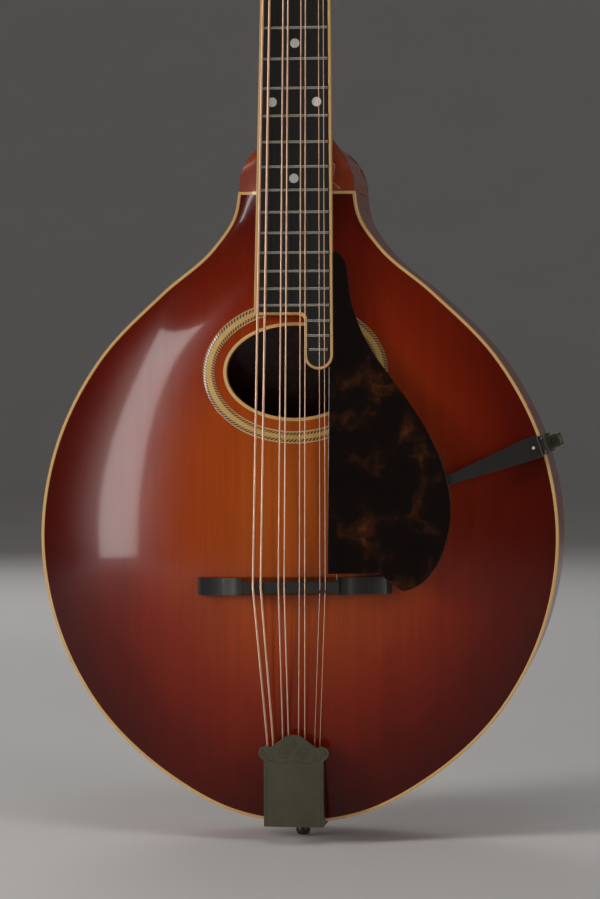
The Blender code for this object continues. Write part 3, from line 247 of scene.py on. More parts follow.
class Shader:
    def __init__(self, name):
        self.material = bpy.data.materials.new(name)
        self.material.use_nodes = True
        self.tree = self.material.node_tree
        self.principled = self.tree.nodes["Principled BSDF"]

    def node(self, kind, settings, *values, out=0, **named):
        made = self.tree.nodes.new(kind)
        for key, value in settings.items():
            if key == "stops":
                self.fillRamp(made.color_ramp, value)
            else:
                setattr(made, key, value)
        for key, value in [*enumerate(values), *named.items()]:
            self.join(made.inputs[key], value)
        return Value(self, made.outputs[out])

    def fillRamp(self, ramp, stops):
        while len(ramp.elements) < len(stops):
            ramp.elements.new(1)
        for element, (place, colour) in zip(ramp.elements, stops):
            element.position = place
            element.color = (*colour, 1)

    def join(self, socket, value):
        if isinstance(value, Value):
            self.tree.links.new(value.socket, socket)
        elif isinstance(value, tuple) and len(value) == 3 and socket.type == "RGBA":
            socket.default_value = (*value, 1)
        else:
            socket.default_value = value

    def place(self):
        return self.node("ShaderNodeTexCoord", {}, out="Object")

    def parts(self, vector):
        split = self.tree.nodes.new("ShaderNodeSeparateXYZ")
        self.tree.links.new(vector.socket, split.inputs[0])
        return [Value(self, socket) for socket in split.outputs]

    def scaled(self, vector, scale):
        return self.node("ShaderNodeVectorMath", {"operation": "MULTIPLY"}, vector, scale)

    def noise(self, vector, scale, detail=3.0, roughness=0.5):
        return self.node("ShaderNodeTexNoise", {}, Vector=vector, Scale=scale, Detail=detail,
                         Roughness=roughness, out=0)

    def ramp(self, value, *stops):
        return self.node("ShaderNodeValToRGB", {"stops": stops}, value)

    def mix(self, share, first, second):
        made = self.tree.nodes.new("ShaderNodeMix")
        made.data_type = "RGBA"
        for socket, value in ((made.inputs[0], share), (made.inputs[6], first), (made.inputs[7], second)):
            self.join(socket, value)
        return Value(self, made.outputs[2])

    def bump(self, height, distance, strength=1.0):
        return self.node("ShaderNodeBump", {}, Height=height, Distance=distance, Strength=strength)

    def set(self, **sockets):
        for name, value in sockets.items():
            self.join(self.principled.inputs[name.replace("_", " ")], value)
        return self.material


varnish = {
    "glow": (0.455, 0.098, 0.012), "amber": (0.385, 0.058, 0.006), "red": (0.235, 0.018, 0.0025),
    "dark": (0.105, 0.0055, 0.0012), "edge": (0.055, 0.0032, 0.001),
    "centre": 0.222, "spreadX": 0.176, "spreadZ": 0.222, "roughness": 0.10,
}


def topVarnish():
    # darker with distance from the middle, crossed by fine upright grain and a few broad soft streaks
    shader = Shader("topVarnish")
    place = shader.place()
    x, y, z = shader.parts(place)
    away = ((x / varnish["spreadX"]) ** 2 + ((z - varnish["centre"] - origin["bottom"]) / varnish["spreadZ"]) ** 2) ** 0.5
    cloud = shader.noise(shader.scaled(place, (1.0, 1.0, 0.6)), 14.0, 3.0)
    share = (away + (cloud - 0.5) * 0.22).clamped()
    burst = shader.ramp(share, (0.08, varnish["glow"]), (0.38, varnish["amber"]), (0.62, varnish["red"]),
                        (0.86, varnish["dark"]), (1.0, varnish["edge"]))
    grain = shader.noise(shader.scaled(place, (1.0, 0.0, 0.012)), 1500.0, 2.0, 0.6)
    broad = shader.noise(shader.scaled(place, (1.0, 0.0, 0.02)), 190.0, 2.0)
    lines = ((grain - 0.5) * 1.1 + (broad - 0.5) * 0.9 + 0.35).clamped()
    colour = shader.mix(lines * 0.42, burst, varnish["edge"])
    wear = shader.noise(place, 60.0, 5.0, 0.7)
    return shader.set(Base_Color=colour, Roughness=varnish["roughness"] + wear * 0.08, Coat_Weight=0.24,
                      Specular_IOR_Level=0.16, Coat_Roughness=0.04, Normal=shader.bump(grain + broad, 0.00002, 0.4))


def sideVarnish(name, light, dark, alongZ):
    # stained hardwood: soft flame across the grain and long fibres along it
    shader = Shader(name)
    place = shader.place()
    along = (1.0, 1.0, 0.05) if alongZ else (0.25, 1.0, 0.25)
    fibre = shader.noise(shader.scaled(place, along), 420.0, 3.0, 0.6)
    flame = shader.noise(shader.scaled(place, (0.6, 0.12, 1.0)), 60.0, 2.0)
    colour = shader.mix(((fibre - 0.5) * 0.9 + (flame - 0.5) * 0.8 + 0.5).clamped(), light, dark)
    return shader.set(Base_Color=colour, Roughness=0.24 + flame * 0.08, Coat_Weight=0.3, Coat_Roughness=0.08,
                      Specular_IOR_Level=0.35,
                      Normal=shader.bump(fibre, 0.00008, 0.4))


def speckled(name, light, dark, roughness, scale, metallic=0.0, coat=0.0, bumpSize=0.00004, stretch=(1.0, 1.0, 1.0)):
    # two shades mixed by fine noise, which also roughens and dents the surface
    shader = Shader(name)
    place = shader.scaled(shader.place(), stretch)
    fine = shader.noise(place, scale, 5.0, 0.65)
    broad = shader.noise(place, scale / 9, 3.0)
    share = ((fine - 0.5) * 0.9 + (broad - 0.5) * 0.9 + 0.5).clamped()
    return shader.set(Base_Color=shader.mix(share, light, dark), Roughness=roughness + share * 0.14,
                      Metallic=metallic, Coat_Weight=coat, Normal=shader.bump(fine, bumpSize, 0.5))


def tortoiseShell():
    # amber blotches with torn edges in a near-black brown, under a clear polish
    shader = Shader("tortoiseShell")
    place = shader.place()
    bend = shader.noise(place, 40.0, 3.0)
    moved = shader.node("ShaderNodeVectorMath", {"operation": "ADD"}, place, shader.scaled(bend, (0.02, 0.0, 0.02)))
    blots = shader.noise(moved, 38.0, 5.0, 0.62)
    colour = shader.ramp(blots, (0.0, (0.002, 0.001, 0.001)), (0.52, (0.005, 0.002, 0.0012)),
                         (0.62, (0.030, 0.008, 0.002)), (0.74, (0.13, 0.036, 0.008)))
    return shader.set(Base_Color=colour, Roughness=0.14 + bend * 0.06, Coat_Weight=0.2, Coat_Roughness=0.06,
                      Specular_IOR_Level=0.3)


rosette = {"centre": 0.3057, "across": 0.05875, "along": 0.04405, "half": 0.0041, "ropeOuter": 0.62,
           "ropeInner": 0.34, "turns": 150.0}


def rosetteInlay():
    # distance from the ring's middle line picks rope, yellow band or rope; the rope is slanted light and dark
    shader = Shader("rosetteInlay")
    x, y, z = shader.parts(shader.place())
    rise = z - rosette["centre"] - origin["bottom"]
    radius = ((x / rosette["across"]) ** 2 + (rise / rosette["along"]) ** 2) ** 0.5
    side = (radius - 1.0) * ((rosette["across"] + rosette["along"]) / 2) / rosette["half"]
    angle = shader.node("ShaderNodeMath", {"operation": "ARCTAN2"}, rise / rosette["along"], x / rosette["across"])
    twist = shader.node("ShaderNodeMath", {"operation": "SINE"}, angle * rosette["turns"] + side * 9.0) > 0.0
    rope = shader.mix(twist, (0.05, 0.018, 0.008), (0.46, 0.24, 0.075))
    line = shader.mix((side > 0.93) + (side < -0.93), rope, (0.58, 0.40, 0.16))
    band = (side > -0.40) * (side < 0.36)
    worn = shader.noise(shader.place(), 240.0, 4.0)
    yellow = shader.mix(worn, (0.62, 0.40, 0.12), (0.48, 0.28, 0.07))
    return shader.set(Base_Color=shader.mix(band, line, yellow), Roughness=0.3 + worn * 0.1, Coat_Weight=0.5)


def woundWire():
    shader = Shader("woundWire")
    place = shader.place()
    x, y, z = shader.parts(place)
    wraps = shader.node("ShaderNodeMath", {"operation": "SINE"}, z * 9000.0)
    tarnish = shader.noise(place, 90.0, 3.0)
    colour = shader.mix(tarnish, (0.74, 0.50, 0.36), (0.55, 0.34, 0.22))
    return shader.set(Base_Color=colour, Roughness=0.30 + tarnish * 0.16, Metallic=1.0,
                      Normal=shader.bump(wraps, 0.00005, 0.5))


def engravedNickel():
    shader = Shader("engravedNickel")
    place = shader.place()
    fine = shader.noise(shader.scaled(place, (1.0, 1.0, 0.08)), 900.0, 4.0, 0.6)
    stain = shader.noise(place, 55.0, 4.0, 0.6)
    colour = shader.mix(stain, (0.17, 0.162, 0.12), (0.09, 0.085, 0.06))
    return shader.set(Base_Color=colour, Roughness=0.27 + stain * 0.18 + fine * 0.06, Metallic=1.0,
                      Normal=shader.bump(fine, 0.00002, 0.4))


finishes = {
    "top": topVarnish(),
    "sides": sideVarnish("stainedMaple", (0.26, 0.035, 0.010), (0.12, 0.012, 0.004), False),
    "neck": sideVarnish("stainedMahogany", (0.30, 0.045, 0.012), (0.15, 0.016, 0.005), True),
    "ebony": speckled("ebonyWood", (0.016, 0.014, 0.012), (0.006, 0.0055, 0.005), 0.30, 500.0, coat=0.15,
                      stretch=(1.0, 1.0, 0.08)),
    "binding": speckled("agedIvory", (0.72, 0.45, 0.17), (0.60, 0.33, 0.10), 0.28, 160.0, coat=0.4),
    "rosette": rosetteInlay(),
    "bone": speckled("boneNut", (0.72, 0.64, 0.48), (0.60, 0.50, 0.34), 0.35, 260.0),
    "bare": speckled("bareSpruce", (0.56, 0.38, 0.20), (0.42, 0.26, 0.12), 0.7, 320.0, stretch=(1.0, 1.0, 0.1)),
    "block": speckled("bareMahogany", (0.34, 0.16, 0.08), (0.22, 0.09, 0.04), 0.7, 320.0, stretch=(1.0, 1.0, 0.1)),
    "wire": woundWire(),
    "nickel": engravedNickel(),
    "button": speckled("buttonIvory", (0.76, 0.68, 0.50), (0.64, 0.54, 0.36), 0.3, 200.0, coat=0.4),
    "tortoise": tortoiseShell(),
    "fret": speckled("fretNickel", (0.66, 0.63, 0.56), (0.52, 0.49, 0.42), 0.22, 420.0, metallic=1.0),
    "pearl": speckled("pearlDot", (0.78, 0.76, 0.70), (0.52, 0.54, 0.52), 0.2, 420.0, coat=0.5),
    "line": speckled("engravedLine", (0.06, 0.055, 0.045), (0.03, 0.028, 0.022), 0.5, 400.0, metallic=1.0),
}
print("materials made")


def wholeLoop(half):
    return np.vstack((half, half[-2:0:-1] * (-1, 1)))


def archedShell(name, margin, front, back, material):
    # rings run from the ridge out to the edge on the front, and back in to the ridge behind
    loop = wholeLoop(inset(stations, margin))
    ridge = wholeLoop(np.column_stack((np.zeros(len(stations)), ridgePlace(stations[:, 1]))))
    shares = np.linspace(0, 1, body["rings"]) ** 1.3
    rows = []
    for depth, order in ((front, shares[::-1]), (back, shares)):
        for share in order:
            flat = loop * (1 - share) + ridge * share
            rows.append(np.column_stack((flat[:, 0], depth(flat[:, 0], flat[:, 1]), flat[:, 1])))
    return surface(name, placed(np.array(rows)), material, wrapColumns=True)


def ovalPoints(across, along, count=120):
    turn = (np.arange(count) + 0.5) * math.tau / count
    return np.column_stack((across * np.cos(turn), rosette["centre"] + along * np.sin(turn)))


def ovalRing(name, inner, outer, over, under, material):
    # a ring on the arch between two ovals, a little proud of the wood, with its edges eased
    profile = ((0.0, under), (0.0, -over * 0.4), (0.06, -over), (0.94, -over), (1.0, -over * 0.4), (1.0, under))
    near, far = ovalPoints(*inner), ovalPoints(*outer)
    rows = []
    for share, depth in profile:
        flat = near * (1 - share) + far * share
        rows.append(np.column_stack((flat[:, 0], topDepth(flat[:, 0], flat[:, 1]) + depth, flat[:, 1])))
    return surface(name, placed(np.array(rows)), material, wrapRows=True, wrapColumns=True)


def boxCutter(low, high):
    bm = bmesh.new()
    size = [b - a for a, b in zip(low, high)]
    middle = [(a + b) / 2 for a, b in zip(low, high)]
    bmesh.ops.create_cube(bm, size=1, matrix=Matrix.Translation(middle) @ Matrix.Diagonal((*size, 1)))
    mesh = bpy.data.meshes.new("cutter")
    bm.to_mesh(mesh)
    bm.free()
    cutter = bpy.data.objects.new("cutter", mesh)
    bpy.context.scene.collection.objects.link(cutter)
    return cutter


hole = {"opening": (0.0464, 0.031), "binding": 0.0022, "inner": (0.0547, 0.0399), "width": 0.0082}


def makePlates():
    top = archedShell("carvedTop", body["binding"], topDepth, lambda x, z: topDepth(x, z) + body["plate"],
                      finishes["top"])
    end = origin["bottom"] + body["length"] - body["binding"]
    cut(top, boxCutter((-1, -1, end), (1, 1, 2)))
    rim = [s + hole["binding"] for s in hole["opening"]]
    flat = ovalPoints(*rim)
    rows = [np.column_stack((flat[:, 0], np.full(len(flat), y), flat[:, 1])) for y in (-0.1, 0.03)]
    cutter = surface("cutter", placed(np.array(rows)), finishes["top"], wrapColumns=True, capEnds=True)
    cut(top, cutter)
    dress(top, "top_plate")
    back = archedShell("carvedBack", 0, lambda x, z: backDepth(x, z) - body["plate"], backDepth, finishes["sides"])
    dress(back, "back_plate")
    binding = ovalRing("soundHoleBinding", hole["opening"], rim, 0.0002, body["plate"], finishes["binding"])
    dress(binding, "soundhole_binding")
    outer = [s + hole["width"] for s in hole["inner"]]
    dress(ovalRing("rosetteRing", hole["inner"], outer, 0.0001, 0.0012, finishes["rosette"]), "rosette")


def edgeStrip(side, nearInset, farInset, front, back, ease):
    # four-cornered section with eased front corners, carried along one side of the outline
    outer = inset(stations, nearInset)[: jointIndex + 1]
    inner = inset(stations, farInset)[: jointIndex + 1]
    outer[0, 0] = inner[0, 0] = 0
    shares = ((0.0, back), (0.0, front + ease), (0.2, front), (0.8, front), (1.0, front + ease), (1.0, back))
    rows = []
    for share, y in shares:
        flat = outer * (1 - share) + inner * share
        rows.append(np.column_stack((side * flat[:, 0], np.full(len(flat), y), flat[:, 1])))
    return placed(np.array(rows)).transpose(1, 0, 2)


def makeSides():
    deep = body["rim"] - body["plate"]
    for name, side in (("bass", -1), ("treble", 1)):
        rib = surface(f"bentRib_{name}", edgeStrip(side, 0, body["rib"], body["plate"], deep, 0.0001),
                      finishes["sides"], wrapColumns=True, capEnds=True)
        dress(rib, f"rib_{name}")
    strips = [edgeStrip(side, -0.0001, body["binding"], -0.0002, body["plate"], 0.0003) for side in (-1, 1)]
    grid = np.concatenate((strips[0][::-1], strips[1][1:]))
    binding = surface("bodyBinding", grid, finishes["binding"], wrapColumns=True, capEnds=True)
    across = np.linspace(-body["joint"] / 2 + 0.0005, body["joint"] / 2 - 0.0005, 41)
    rows = []
    for dz, over in ((-body["binding"], 0.0), (-body["binding"], -0.0002), (0.0, -0.0002), (0.0, 0.0)):
        z = np.full_like(across, body["length"] + dz)
        depth = topDepth(across, np.full_like(across, body["length"])) + over
        depth = depth + (0.005 if over == 0 else 0)
        rows.append(np.column_stack((across, depth, z)))
    cross = surface("jointBinding", placed(np.array(rows)).transpose(1, 0, 2), finishes["binding"],
                    wrapColumns=True, capEnds=True)
    dress(binding, "top_binding")
    trim(cross, "top_binding")


def refined(node, finish, bevelWidth=0.0, sharp=35, segments=2):
    # welded copy of a frame node with its flat faces rejoined, smooth curves and eased edges
    mesh = frame["nodes"][node].data.copy()
    mesh.materials.clear()
    bm = bmesh.new()
    bm.from_mesh(mesh)
    bmesh.ops.remove_doubles(bm, verts=bm.verts, dist=2e-6)
    bmesh.ops.dissolve_limit(bm, angle_limit=math.radians(0.6), verts=bm.verts, edges=bm.edges)
    bm.to_mesh(mesh)
    bm.free()
    mesh.shade_smooth()
    mesh.set_sharp_from_angle(angle=math.radians(sharp))
    mesh.materials.append(finishes[finish])
    piece = bpy.data.objects.new(f"{node}_finish", mesh)
    bpy.context.scene.collection.objects.link(piece)
    if bevelWidth:
        edge = piece.modifiers.new("ease", "BEVEL")
        edge.width = bevelWidth
        edge.segments = segments
        edge.limit_method = "ANGLE"
        edge.angle_limit = math.radians(sharp)
        edge.use_clamp_overlap = True
    normals = piece.modifiers.new("normals", "WEIGHTED_NORMAL")
    normals.keep_sharp = True
    return dress(piece, node)


refinedNodes = {
    "neck": ("neck", 0.0), "headstock_overlay": ("ebony", 0.0003), "fingerboard": ("ebony", 0.0),
    "fingerboard_binding": ("binding", 0.0002), "nut": ("bone", 0.0002), "bridge": ("ebony", 0.0003),
    "rest_arm": ("ebony", 0.0), "rest_pin": ("nickel", 0.0),
    "clamp_front_jaw": ("nickel", 0.0003), "clamp_back_jaw": ("nickel", 0.0003),
    "clamp_screw": ("nickel", 0.0), "tailpiece_base": ("nickel", 0.0), "tailpiece_cover": ("nickel", 0.0002),
    "end_pin": ("ebony", 0.0003), "tuner_strip_bass": ("nickel", 0.0), "tuner_strip_treble": ("nickel", 0.0),
    "neck_block": ("block", 0.0), "tail_block": ("block", 0.0), "top_brace": ("bare", 0.0),
    "lining_front_bass": ("bare", 0.0), "lining_front_treble": ("bare", 0.0),
    "lining_back_bass": ("bare", 0.0), "lining_back_treble": ("bare", 0.0),
}


def makeRefined():
    for node, (finish, width) in refinedNodes.items():
        refined(node, finish, width)
    for number in range(1, 9):
        refined(f"string_{number}", "wire", sharp=70)
        refined(f"tuner_post_{number}", "nickel")
        refined(f"tuner_button_{number}", "button", sharp=50)


makePlates()
makeSides()
print("body made")
makeRefined()
print("nodes refined")

neck = {"pitch": math.radians(3.7), "rise": 0.0142, "scale": 0.62865, "jointFret": 15, "headAngle": math.radians(14),
        "board": 0.0065, "nut": 0.005, "gap": 0.0003}
saddle = neck["scale"] * 2 ** (-neck["jointFret"] / 12)
neckFrame = (Matrix.Translation((0, origin["front"] - neck["rise"], origin["bottom"] + body["length"]))
             @ Matrix.Rotation(-neck["pitch"], 4, "X"))
headFrame = (neckFrame @ Matrix.Translation((0, neck["board"] + neck["gap"],
                                             neck["scale"] - saddle + neck["nut"] + neck["gap"]))
             @ Matrix.Rotation(-neck["headAngle"], 4, "X"))


def turnedPiece(name, profile, matrix, material, count=32, sharp=40):
    # a profile of (radius, height) swept round the local Z axis
    turn = np.arange(count) * math.tau / count
    rows = [np.column_stack((r * np.cos(turn), r * np.sin(turn), np.full(count, h))) for r, h in profile]
    grid = np.array(rows).reshape(-1, 3)
    turned = (np.array(matrix)[:3, :3] @ grid.T).T + np.array(matrix.translation)
    return surface(name, turned.reshape(len(profile), count, 3), material, wrapColumns=True, capEnds=True, sharp=sharp)


fret = {"count": 24, "foot": 0.00094, "height": 0.00103, "sunk": 0.0003}


def makeFrets():
    # each wire is a low arch in section, laid on the fret fused with the board
    board = frame["nodes"]["fingerboard"]
    points = np.array([tuple(neckFrame.inverted() @ (board.matrix_world @ v.co)) for v in board.data.vertices])
    for number in range(1, fret["count"] + 1):
        z = neck["scale"] * 2 ** (-number / 12) - saddle
        near = points[(np.abs(points[:, 2] - z) < 0.0012) & (points[:, 1] < -0.0005)]
        if len(near) < 4:
            continue
        low, high = near[:, 0].min() - 0.0001, near[:, 0].max() + 0.0001
        across = np.linspace(low, high, 9)
        turn = np.linspace(0, math.pi, 9)
        section = np.column_stack((fret["foot"] * np.cos(turn), -fret["height"] * np.sin(turn) ** 0.6))
        section = np.vstack((section, (-fret["foot"], fret["sunk"]), (fret["foot"], fret["sunk"])))
        rows = [np.column_stack((np.full(len(section), x), section[:, 1], z + section[:, 0])) for x in across]
        grid = np.array(rows).reshape(-1, 3)
        matrix = np.array(neckFrame)
        moved = (matrix[:3, :3] @ grid.T).T + matrix[:3, 3]
        wire = surface(f"fretWire_{number}", moved.reshape(len(across), len(section), 3), finishes["fret"],
                       wrapColumns=True, capEnds=True)
        trim(wire, "tuner_strip_bass")


rest = {
    "edge": ((0.0276, -0.0413), (0.0343, -0.0476), (0.0370, -0.0609), (0.0385, -0.0724), (0.0427, -0.0868),
             (0.0527, -0.1074), (0.0640, -0.1234), (0.0787, -0.1434), (0.0932, -0.1669), (0.1030, -0.1904),
             (0.1063, -0.2154), (0.1037, -0.2339), (0.0952, -0.2538), (0.0840, -0.2649), (0.0740, -0.2677),
             (0.0680, -0.2639), (0.0598, -0.2568)),
    "drop": 0.001, "thickness": 0.002, "ease": 0.0004, "extensionLeft": 0.0078, "extensionEnd": 0.1205,
    "nutHalf": 0.0205, "flare": 0.0269,
}


def boardHalf(z):
    return rest["nutHalf"] + rest["flare"] * (neck["scale"] - saddle - z) / 2


def makeFingerRest():
    # same outline as the solid, with dense curves; its rim is eased in a quarter round on both faces
    radius = (boardHalf(-rest["extensionEnd"]) - rest["extensionLeft"]) / 2
    centre = np.array((rest["extensionLeft"] + radius, radius - rest["extensionEnd"]))
    turn = np.radians(np.linspace(48, 0, 14))
    reach = radius + 2 * neck["gap"]
    arc = np.column_stack((centre[0] + reach * np.cos(turn), centre[1] - reach * np.sin(turn)))
    edge = rest["edge"]
    top = (boardHalf(edge[0][1]) + 2 * neck["gap"], edge[0][1] - neck["gap"])
    free = smoothCurve(edge, (1, -0.3), (-0.7, 0.7), 0.0016)
    loop = np.vstack((free, (arc[0, 0], edge[-1][1]), arc, top))
    ahead, behind = np.roll(loop, -1, 0) - loop, loop - np.roll(loop, 1, 0)
    ahead /= np.linalg.norm(ahead, axis=1)[:, None]
    behind /= np.linalg.norm(behind, axis=1)[:, None]
    along = ahead + behind
    along /= np.linalg.norm(along, axis=1)[:, None]
    normal = np.column_stack((along[:, 1], -along[:, 0]))
    area = np.sum(loop[:, 0] * np.roll(loop[:, 1], -1) - np.roll(loop[:, 0], -1) * loop[:, 1])
    normal = normal * np.sign(area)
    low, high, ease = rest["drop"], rest["drop"] + rest["thickness"], rest["ease"]
    rows = []
    for share, y in ((1, low), (0.3, low + 0.3 * ease), (0, low + ease), (0, high - ease), (0.3, high - 0.3 * ease),
                     (1, high)):
        flat = loop - normal * ease * share
        rows.append(np.column_stack((flat[:, 0], np.full(len(flat), y), flat[:, 1])))
    matrix = np.array(neckFrame)
    moved = (matrix[:3, :3] @ np.array(rows).reshape(-1, 3).T).T + matrix[:3, 3]
    plate = surface("tortoiseRest", moved.reshape(len(rows), len(loop), 3), finishes["tortoise"], wrapColumns=True,
                    capEnds=True, sharp=20)
    dress(plate, "finger_rest")


dots = {"radius": 0.00315, "proud": 0.00004, "deep": 0.0004,
        "frets": ((5, 0.0), (7, 0.0), (10, 0.0), (12, -0.5), (12, 0.5), (15, 0.0)), "spread": 0.030}


def makeDots():
    for number, (fret, side) in enumerate(dots["frets"], 1):
        middle = (2 ** (-fret / 12) + 2 ** (-(fret - 1) / 12)) / 2
        place = neck["scale"] * middle - saddle
        matrix = neckFrame @ Matrix.Translation((side * dots["spread"], 0, place)) @ Matrix.Rotation(math.pi / 2, 4, "X")
        r = dots["radius"]
        profile = ((r, -dots["deep"]), (r, dots["proud"] * 0.5), (r * 0.97, dots["proud"]))
        trim(turnedPiece(f"positionDot_{number}", profile, matrix, finishes["pearl"]), "nut")


tuner = {"first": 0.044, "spacing": 0.032, "offset": 0.025, "bush": 0.0048, "hole": 0.0037, "overlay": 0.0021,
         "back": 0.0165, "screw": 0.0019}


def roundHead(name, matrix, radius, height, node, finish="nickel"):
    # a low dome whose rise falls off as the square of the distance, over a short straight edge
    steps = np.linspace(0, 1, 6)
    profile = [(radius, -height * 0.4)] + [(radius * math.cos(s * 1.45), height * math.sin(s * 1.45)) for s in steps]
    trim(turnedPiece(name, profile, matrix, finishes[finish], 20), node)


def makeHeadstockTrim():
    forward = Matrix.Rotation(math.pi / 2, 4, "X")
    backward = Matrix.Rotation(-math.pi / 2, 4, "X")
    number = 0
    for side, strip in ((-1, "bass"), (1, "treble")):
        for k in range(4):
            number += 1
            place = (side * tuner["offset"], -tuner["overlay"], tuner["first"] + k * tuner["spacing"])
            matrix = headFrame @ Matrix.Translation(place) @ forward
            profile = ((tuner["hole"], -0.001), (tuner["hole"], 0.0006), (tuner["bush"] * 0.92, 0.0006),
                       (tuner["bush"], 0.0002), (tuner["bush"], -0.001))
            ring = turnedPiece(f"postBushing_{number}", profile, matrix, finishes["nickel"])
            trim(ring, "headstock_overlay")
        for k, z in enumerate((0.0355, 0.0605, 0.0925, 0.1245, 0.1465), 1):
            place = (side * (tuner["offset"] - 0.0055), tuner["back"], z)
            matrix = headFrame @ Matrix.Translation(place) @ backward
            roundHead(f"stripScrew_{strip}_{k}", matrix, tuner["screw"], 0.0007, f"tuner_strip_{strip}")


def spiral(centre, start, turns, radius, flip):
    # an inward spiral whose radius shrinks steadily with its angle
    t = np.linspace(0, 1, 60)
    angle = start + turns * math.tau * t
    reach = radius * (1 - 0.86 * t)
    return np.column_stack((flip * (centre[0] + reach * np.cos(angle)), centre[1] + reach * np.sin(angle)))


cover = {"front": -0.0210, "height": 0.0622, "width": 0.0202, "line": 0.00022}


def engravedLine(name, path):
    # a thin half-sunk tube that follows a flat path over the cover's face
    along = np.gradient(path, axis=0)
    along /= np.linalg.norm(along, axis=1)[:, None]
    normal = np.column_stack((-along[:, 1], along[:, 0]))
    turn = np.arange(8) * math.tau / 8
    rows = [np.column_stack((path[:, 0] + normal[:, 0] * cover["line"] * math.cos(a),
                             cover["front"] + 0.00016 - cover["line"] * math.sin(a) + np.zeros(len(path)),
                             path[:, 1] + normal[:, 1] * cover["line"] * math.cos(a))) for a in turn]
    line = surface(name, placed(np.array(rows)).transpose(1, 0, 2), finishes["line"], wrapColumns=True, capEnds=True)
    return trim(line, "tailpiece_cover")


def makeEngraving():
    top = cover["height"]
    for flip, side in ((-1, "bass"), (1, "treble")):
        engravedLine(f"scroll_{side}_1", spiral((0.0068, top - 0.0118), math.pi * 0.9, 1.7, 0.0044, flip))
        engravedLine(f"scroll_{side}_2", spiral((0.0155, top - 0.0150), 0.4, -1.4, 0.0032, flip))
        engravedLine(f"scroll_{side}_3", spiral((0.0206, top - 0.0118), math.pi, 1.2, 0.0020, flip))
        t = np.linspace(0, 1, 30)
        stem = np.column_stack((flip * (0.0010 + 0.0150 * t), top - 0.0172 - 0.0022 * np.sin(t * math.pi)))
        engravedLine(f"scroll_{side}_4", stem)
        edge = np.column_stack((flip * np.full(20, cover["width"] - 0.0016), np.linspace(0.002, top - 0.0215, 20)))
        engravedLine(f"border_{side}", edge)
    diamond = np.array([(0, 0.0030), (0.0019, 0), (0, -0.0030), (-0.0019, 0), (0, 0.0030)]) + (0, top - 0.0062)
    steps = np.linspace(0, 4, 33)
    path = np.column_stack([np.interp(steps, range(5), diamond[:, k]) for k in (0, 1)])
    engravedLine("diamond", path)


clampPlace = {"height": 0.2565, "plate": 0.0028, "screwIn": 0.0045}


def clampFrame():
    low, high = clampPlace["height"] - 0.012, clampPlace["height"] + 0.012
    along = Vector((float(halfWidth(high) - halfWidth(low)), 0, high - low)).normalized()
    out = Vector((along.z, 0, -along.x))
    turn = Matrix((out, (0, 1, 0), along)).transposed().to_4x4()
    x = float(halfWidth(clampPlace["height"]))
    place = (x, origin["front"], origin["bottom"] + clampPlace["height"])
    return Matrix.Translation(place) @ turn


def makeClampTrim():
    clamp = clampFrame()
    forward = Matrix.Rotation(math.pi / 2, 4, "X")
    for k, z in enumerate((-0.0048, 0.0048), 1):
        matrix = clamp @ Matrix.Translation((-0.0006, -0.0025, z)) @ forward
        roundHead(f"clampScrewHead_{k}", matrix, 0.0017, 0.0008, "clamp_front_jaw")
    matrix = clamp @ Matrix.Translation((-0.0062, -0.0091, 0.0)) @ forward
    roundHead("armPinHead", matrix, 0.0011, 0.0006, "clamp_front_jaw", "bone")
    turn = np.arange(96) * math.tau / 96
    reach = 0.0046 + 0.00022 * np.sign(np.sin(turn * 24))
    rows = []
    for h, scale in ((0.0401, 0.90), (0.0405, 1.0), (0.0455, 1.0), (0.0459, 0.90)):
        rows.append(np.column_stack((reach * scale * np.cos(turn), np.full(96, h), reach * scale * np.sin(turn))))
    grid = np.array(rows).reshape(-1, 3) + (0.0065, 0, 0)
    matrix = np.array(clamp)
    moved = (matrix[:3, :3] @ grid.T).T + matrix[:3, 3]
    knurl = surface("knurledGrip", moved.reshape(4, 96, 3), finishes["nickel"], wrapColumns=True, capEnds=True, sharp=25)
    trim(knurl, "clamp_screw")


makeFingerRest()
makeFrets()
makeDots()
makeHeadstockTrim()
makeEngraving()
makeClampTrim()
print("trim made")

studio = {"floor": -0.001, "pale": (0.80, 0.79, 0.77), "flat": 6.0, "bend": 6.0, "rim": 14.0}


def makeStudio():
    # round floor that curves up into a wall far out: a flat disc, then a quarter circle, then upright
    turn = np.linspace(0, math.pi / 2, 24)
    radius = np.concatenate(([0.0, 1.0, 3.0], studio["flat"] + studio["bend"] * np.sin(turn),
                             [studio["flat"] + studio["bend"]]))
    z = np.concatenate((np.zeros(3), studio["bend"] * (1 - np.cos(turn)), [studio["rim"]])) + studio["floor"]
    around = np.arange(96) * math.tau / 96
    grid = np.stack(np.broadcast_arrays(radius[:, None] * np.cos(around), radius[:, None] * np.sin(around),
                                        z[:, None]), -1)
    shader = Shader("paleFloor")
    patch = shader.noise(shader.place(), 3.0, 2.0)
    material = shader.set(Base_Color=shader.mix(patch, studio["pale"], (0.76, 0.75, 0.735)), Roughness=0.85)
    floor = surface("floor", grid, material, wrapColumns=True, sharp=60)


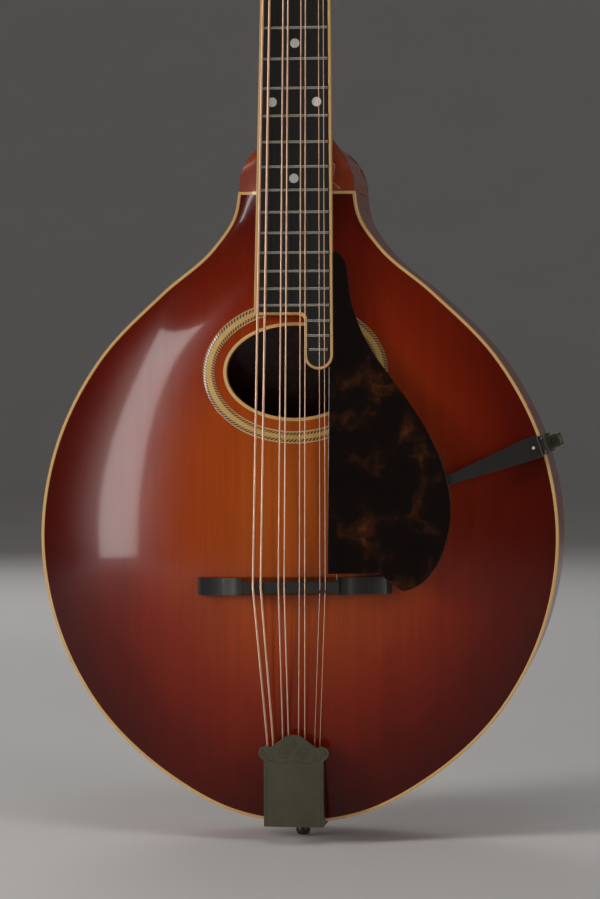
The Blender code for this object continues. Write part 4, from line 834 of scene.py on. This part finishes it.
def areaLight(name, place, target, size, power, tint=(1, 1, 1)):
    data = bpy.data.lights.new(name, "AREA")
    data.shape = "RECTANGLE"
    data.size, data.size_y = size
    data.energy = power
    data.color = tint
    lamp = bpy.data.objects.new(name, data)
    lamp.matrix_world = (Matrix.Translation(place)
                         @ (Vector(target) - Vector(place)).to_track_quat("-Z", "Y").to_matrix().to_4x4())
    bpy.context.scene.collection.objects.link(lamp)


def makeLights():
    middle = (0, 0, 0.3)
    areaLight("keyLeft", (-2.0, -1.35, 0.9), middle, (0.6, 1.0), 32, (1.0, 0.97, 0.95))
    areaLight("softboxLeft", (-1.15, -1.98, 0.46), middle, (0.08, 0.9), 3.8, (1.0, 0.96, 0.94))
    areaLight("fillRight", (2.3, -1.7, 1.0), middle, (0.9, 1.2), 18, (1.0, 0.98, 0.96))
    areaLight("topLight", (0.1, -0.9, 2.4), middle, (1.2, 0.6), 4)
    areaLight("backLight", (-0.9, 2.4, 1.6), middle, (1.6, 1.4), 14)
    world = bpy.context.scene.world or bpy.data.worlds.new("world")
    bpy.context.scene.world = world
    world.use_nodes = True
    world.node_tree.nodes["Background"].inputs[0].default_value = (0.62, 0.62, 0.63, 1)
    world.node_tree.nodes["Background"].inputs[1].default_value = 0.16


view = {"place": (0.2676, -2.028, 0.3143), "yaw": math.radians(7.565), "pitch": math.radians(1.396),
        "roll": math.radians(-0.109), "focalPixels": 2985, "imageWidth": 600, "sensor": 36.0}


def makeCamera():
    data = bpy.data.cameras.new("camera")
    data.sensor_fit = "HORIZONTAL"
    data.sensor_width = view["sensor"]
    data.lens = view["focalPixels"] / view["imageWidth"] * view["sensor"]
    data.clip_end = 100
    camera = bpy.data.objects.new("camera", data)
    level = Matrix(((1, 0, 0), (0, 0, -1), (0, 1, 0)))
    turn = (Matrix.Rotation(view["roll"], 3, "Z") @ Matrix.Rotation(view["pitch"], 3, "X")
            @ Matrix.Rotation(view["yaw"], 3, "Y") @ level)
    axes = Matrix((turn[0], -turn[1], -turn[2])).transposed().to_4x4()
    camera.matrix_world = Matrix.Translation(view["place"]) @ axes
    bpy.context.scene.collection.objects.link(camera)
    bpy.context.scene.camera = camera


makeStudio()
makeLights()
makeCamera()
bpy.context.scene.view_settings.view_transform = "Standard"
print("studio made")
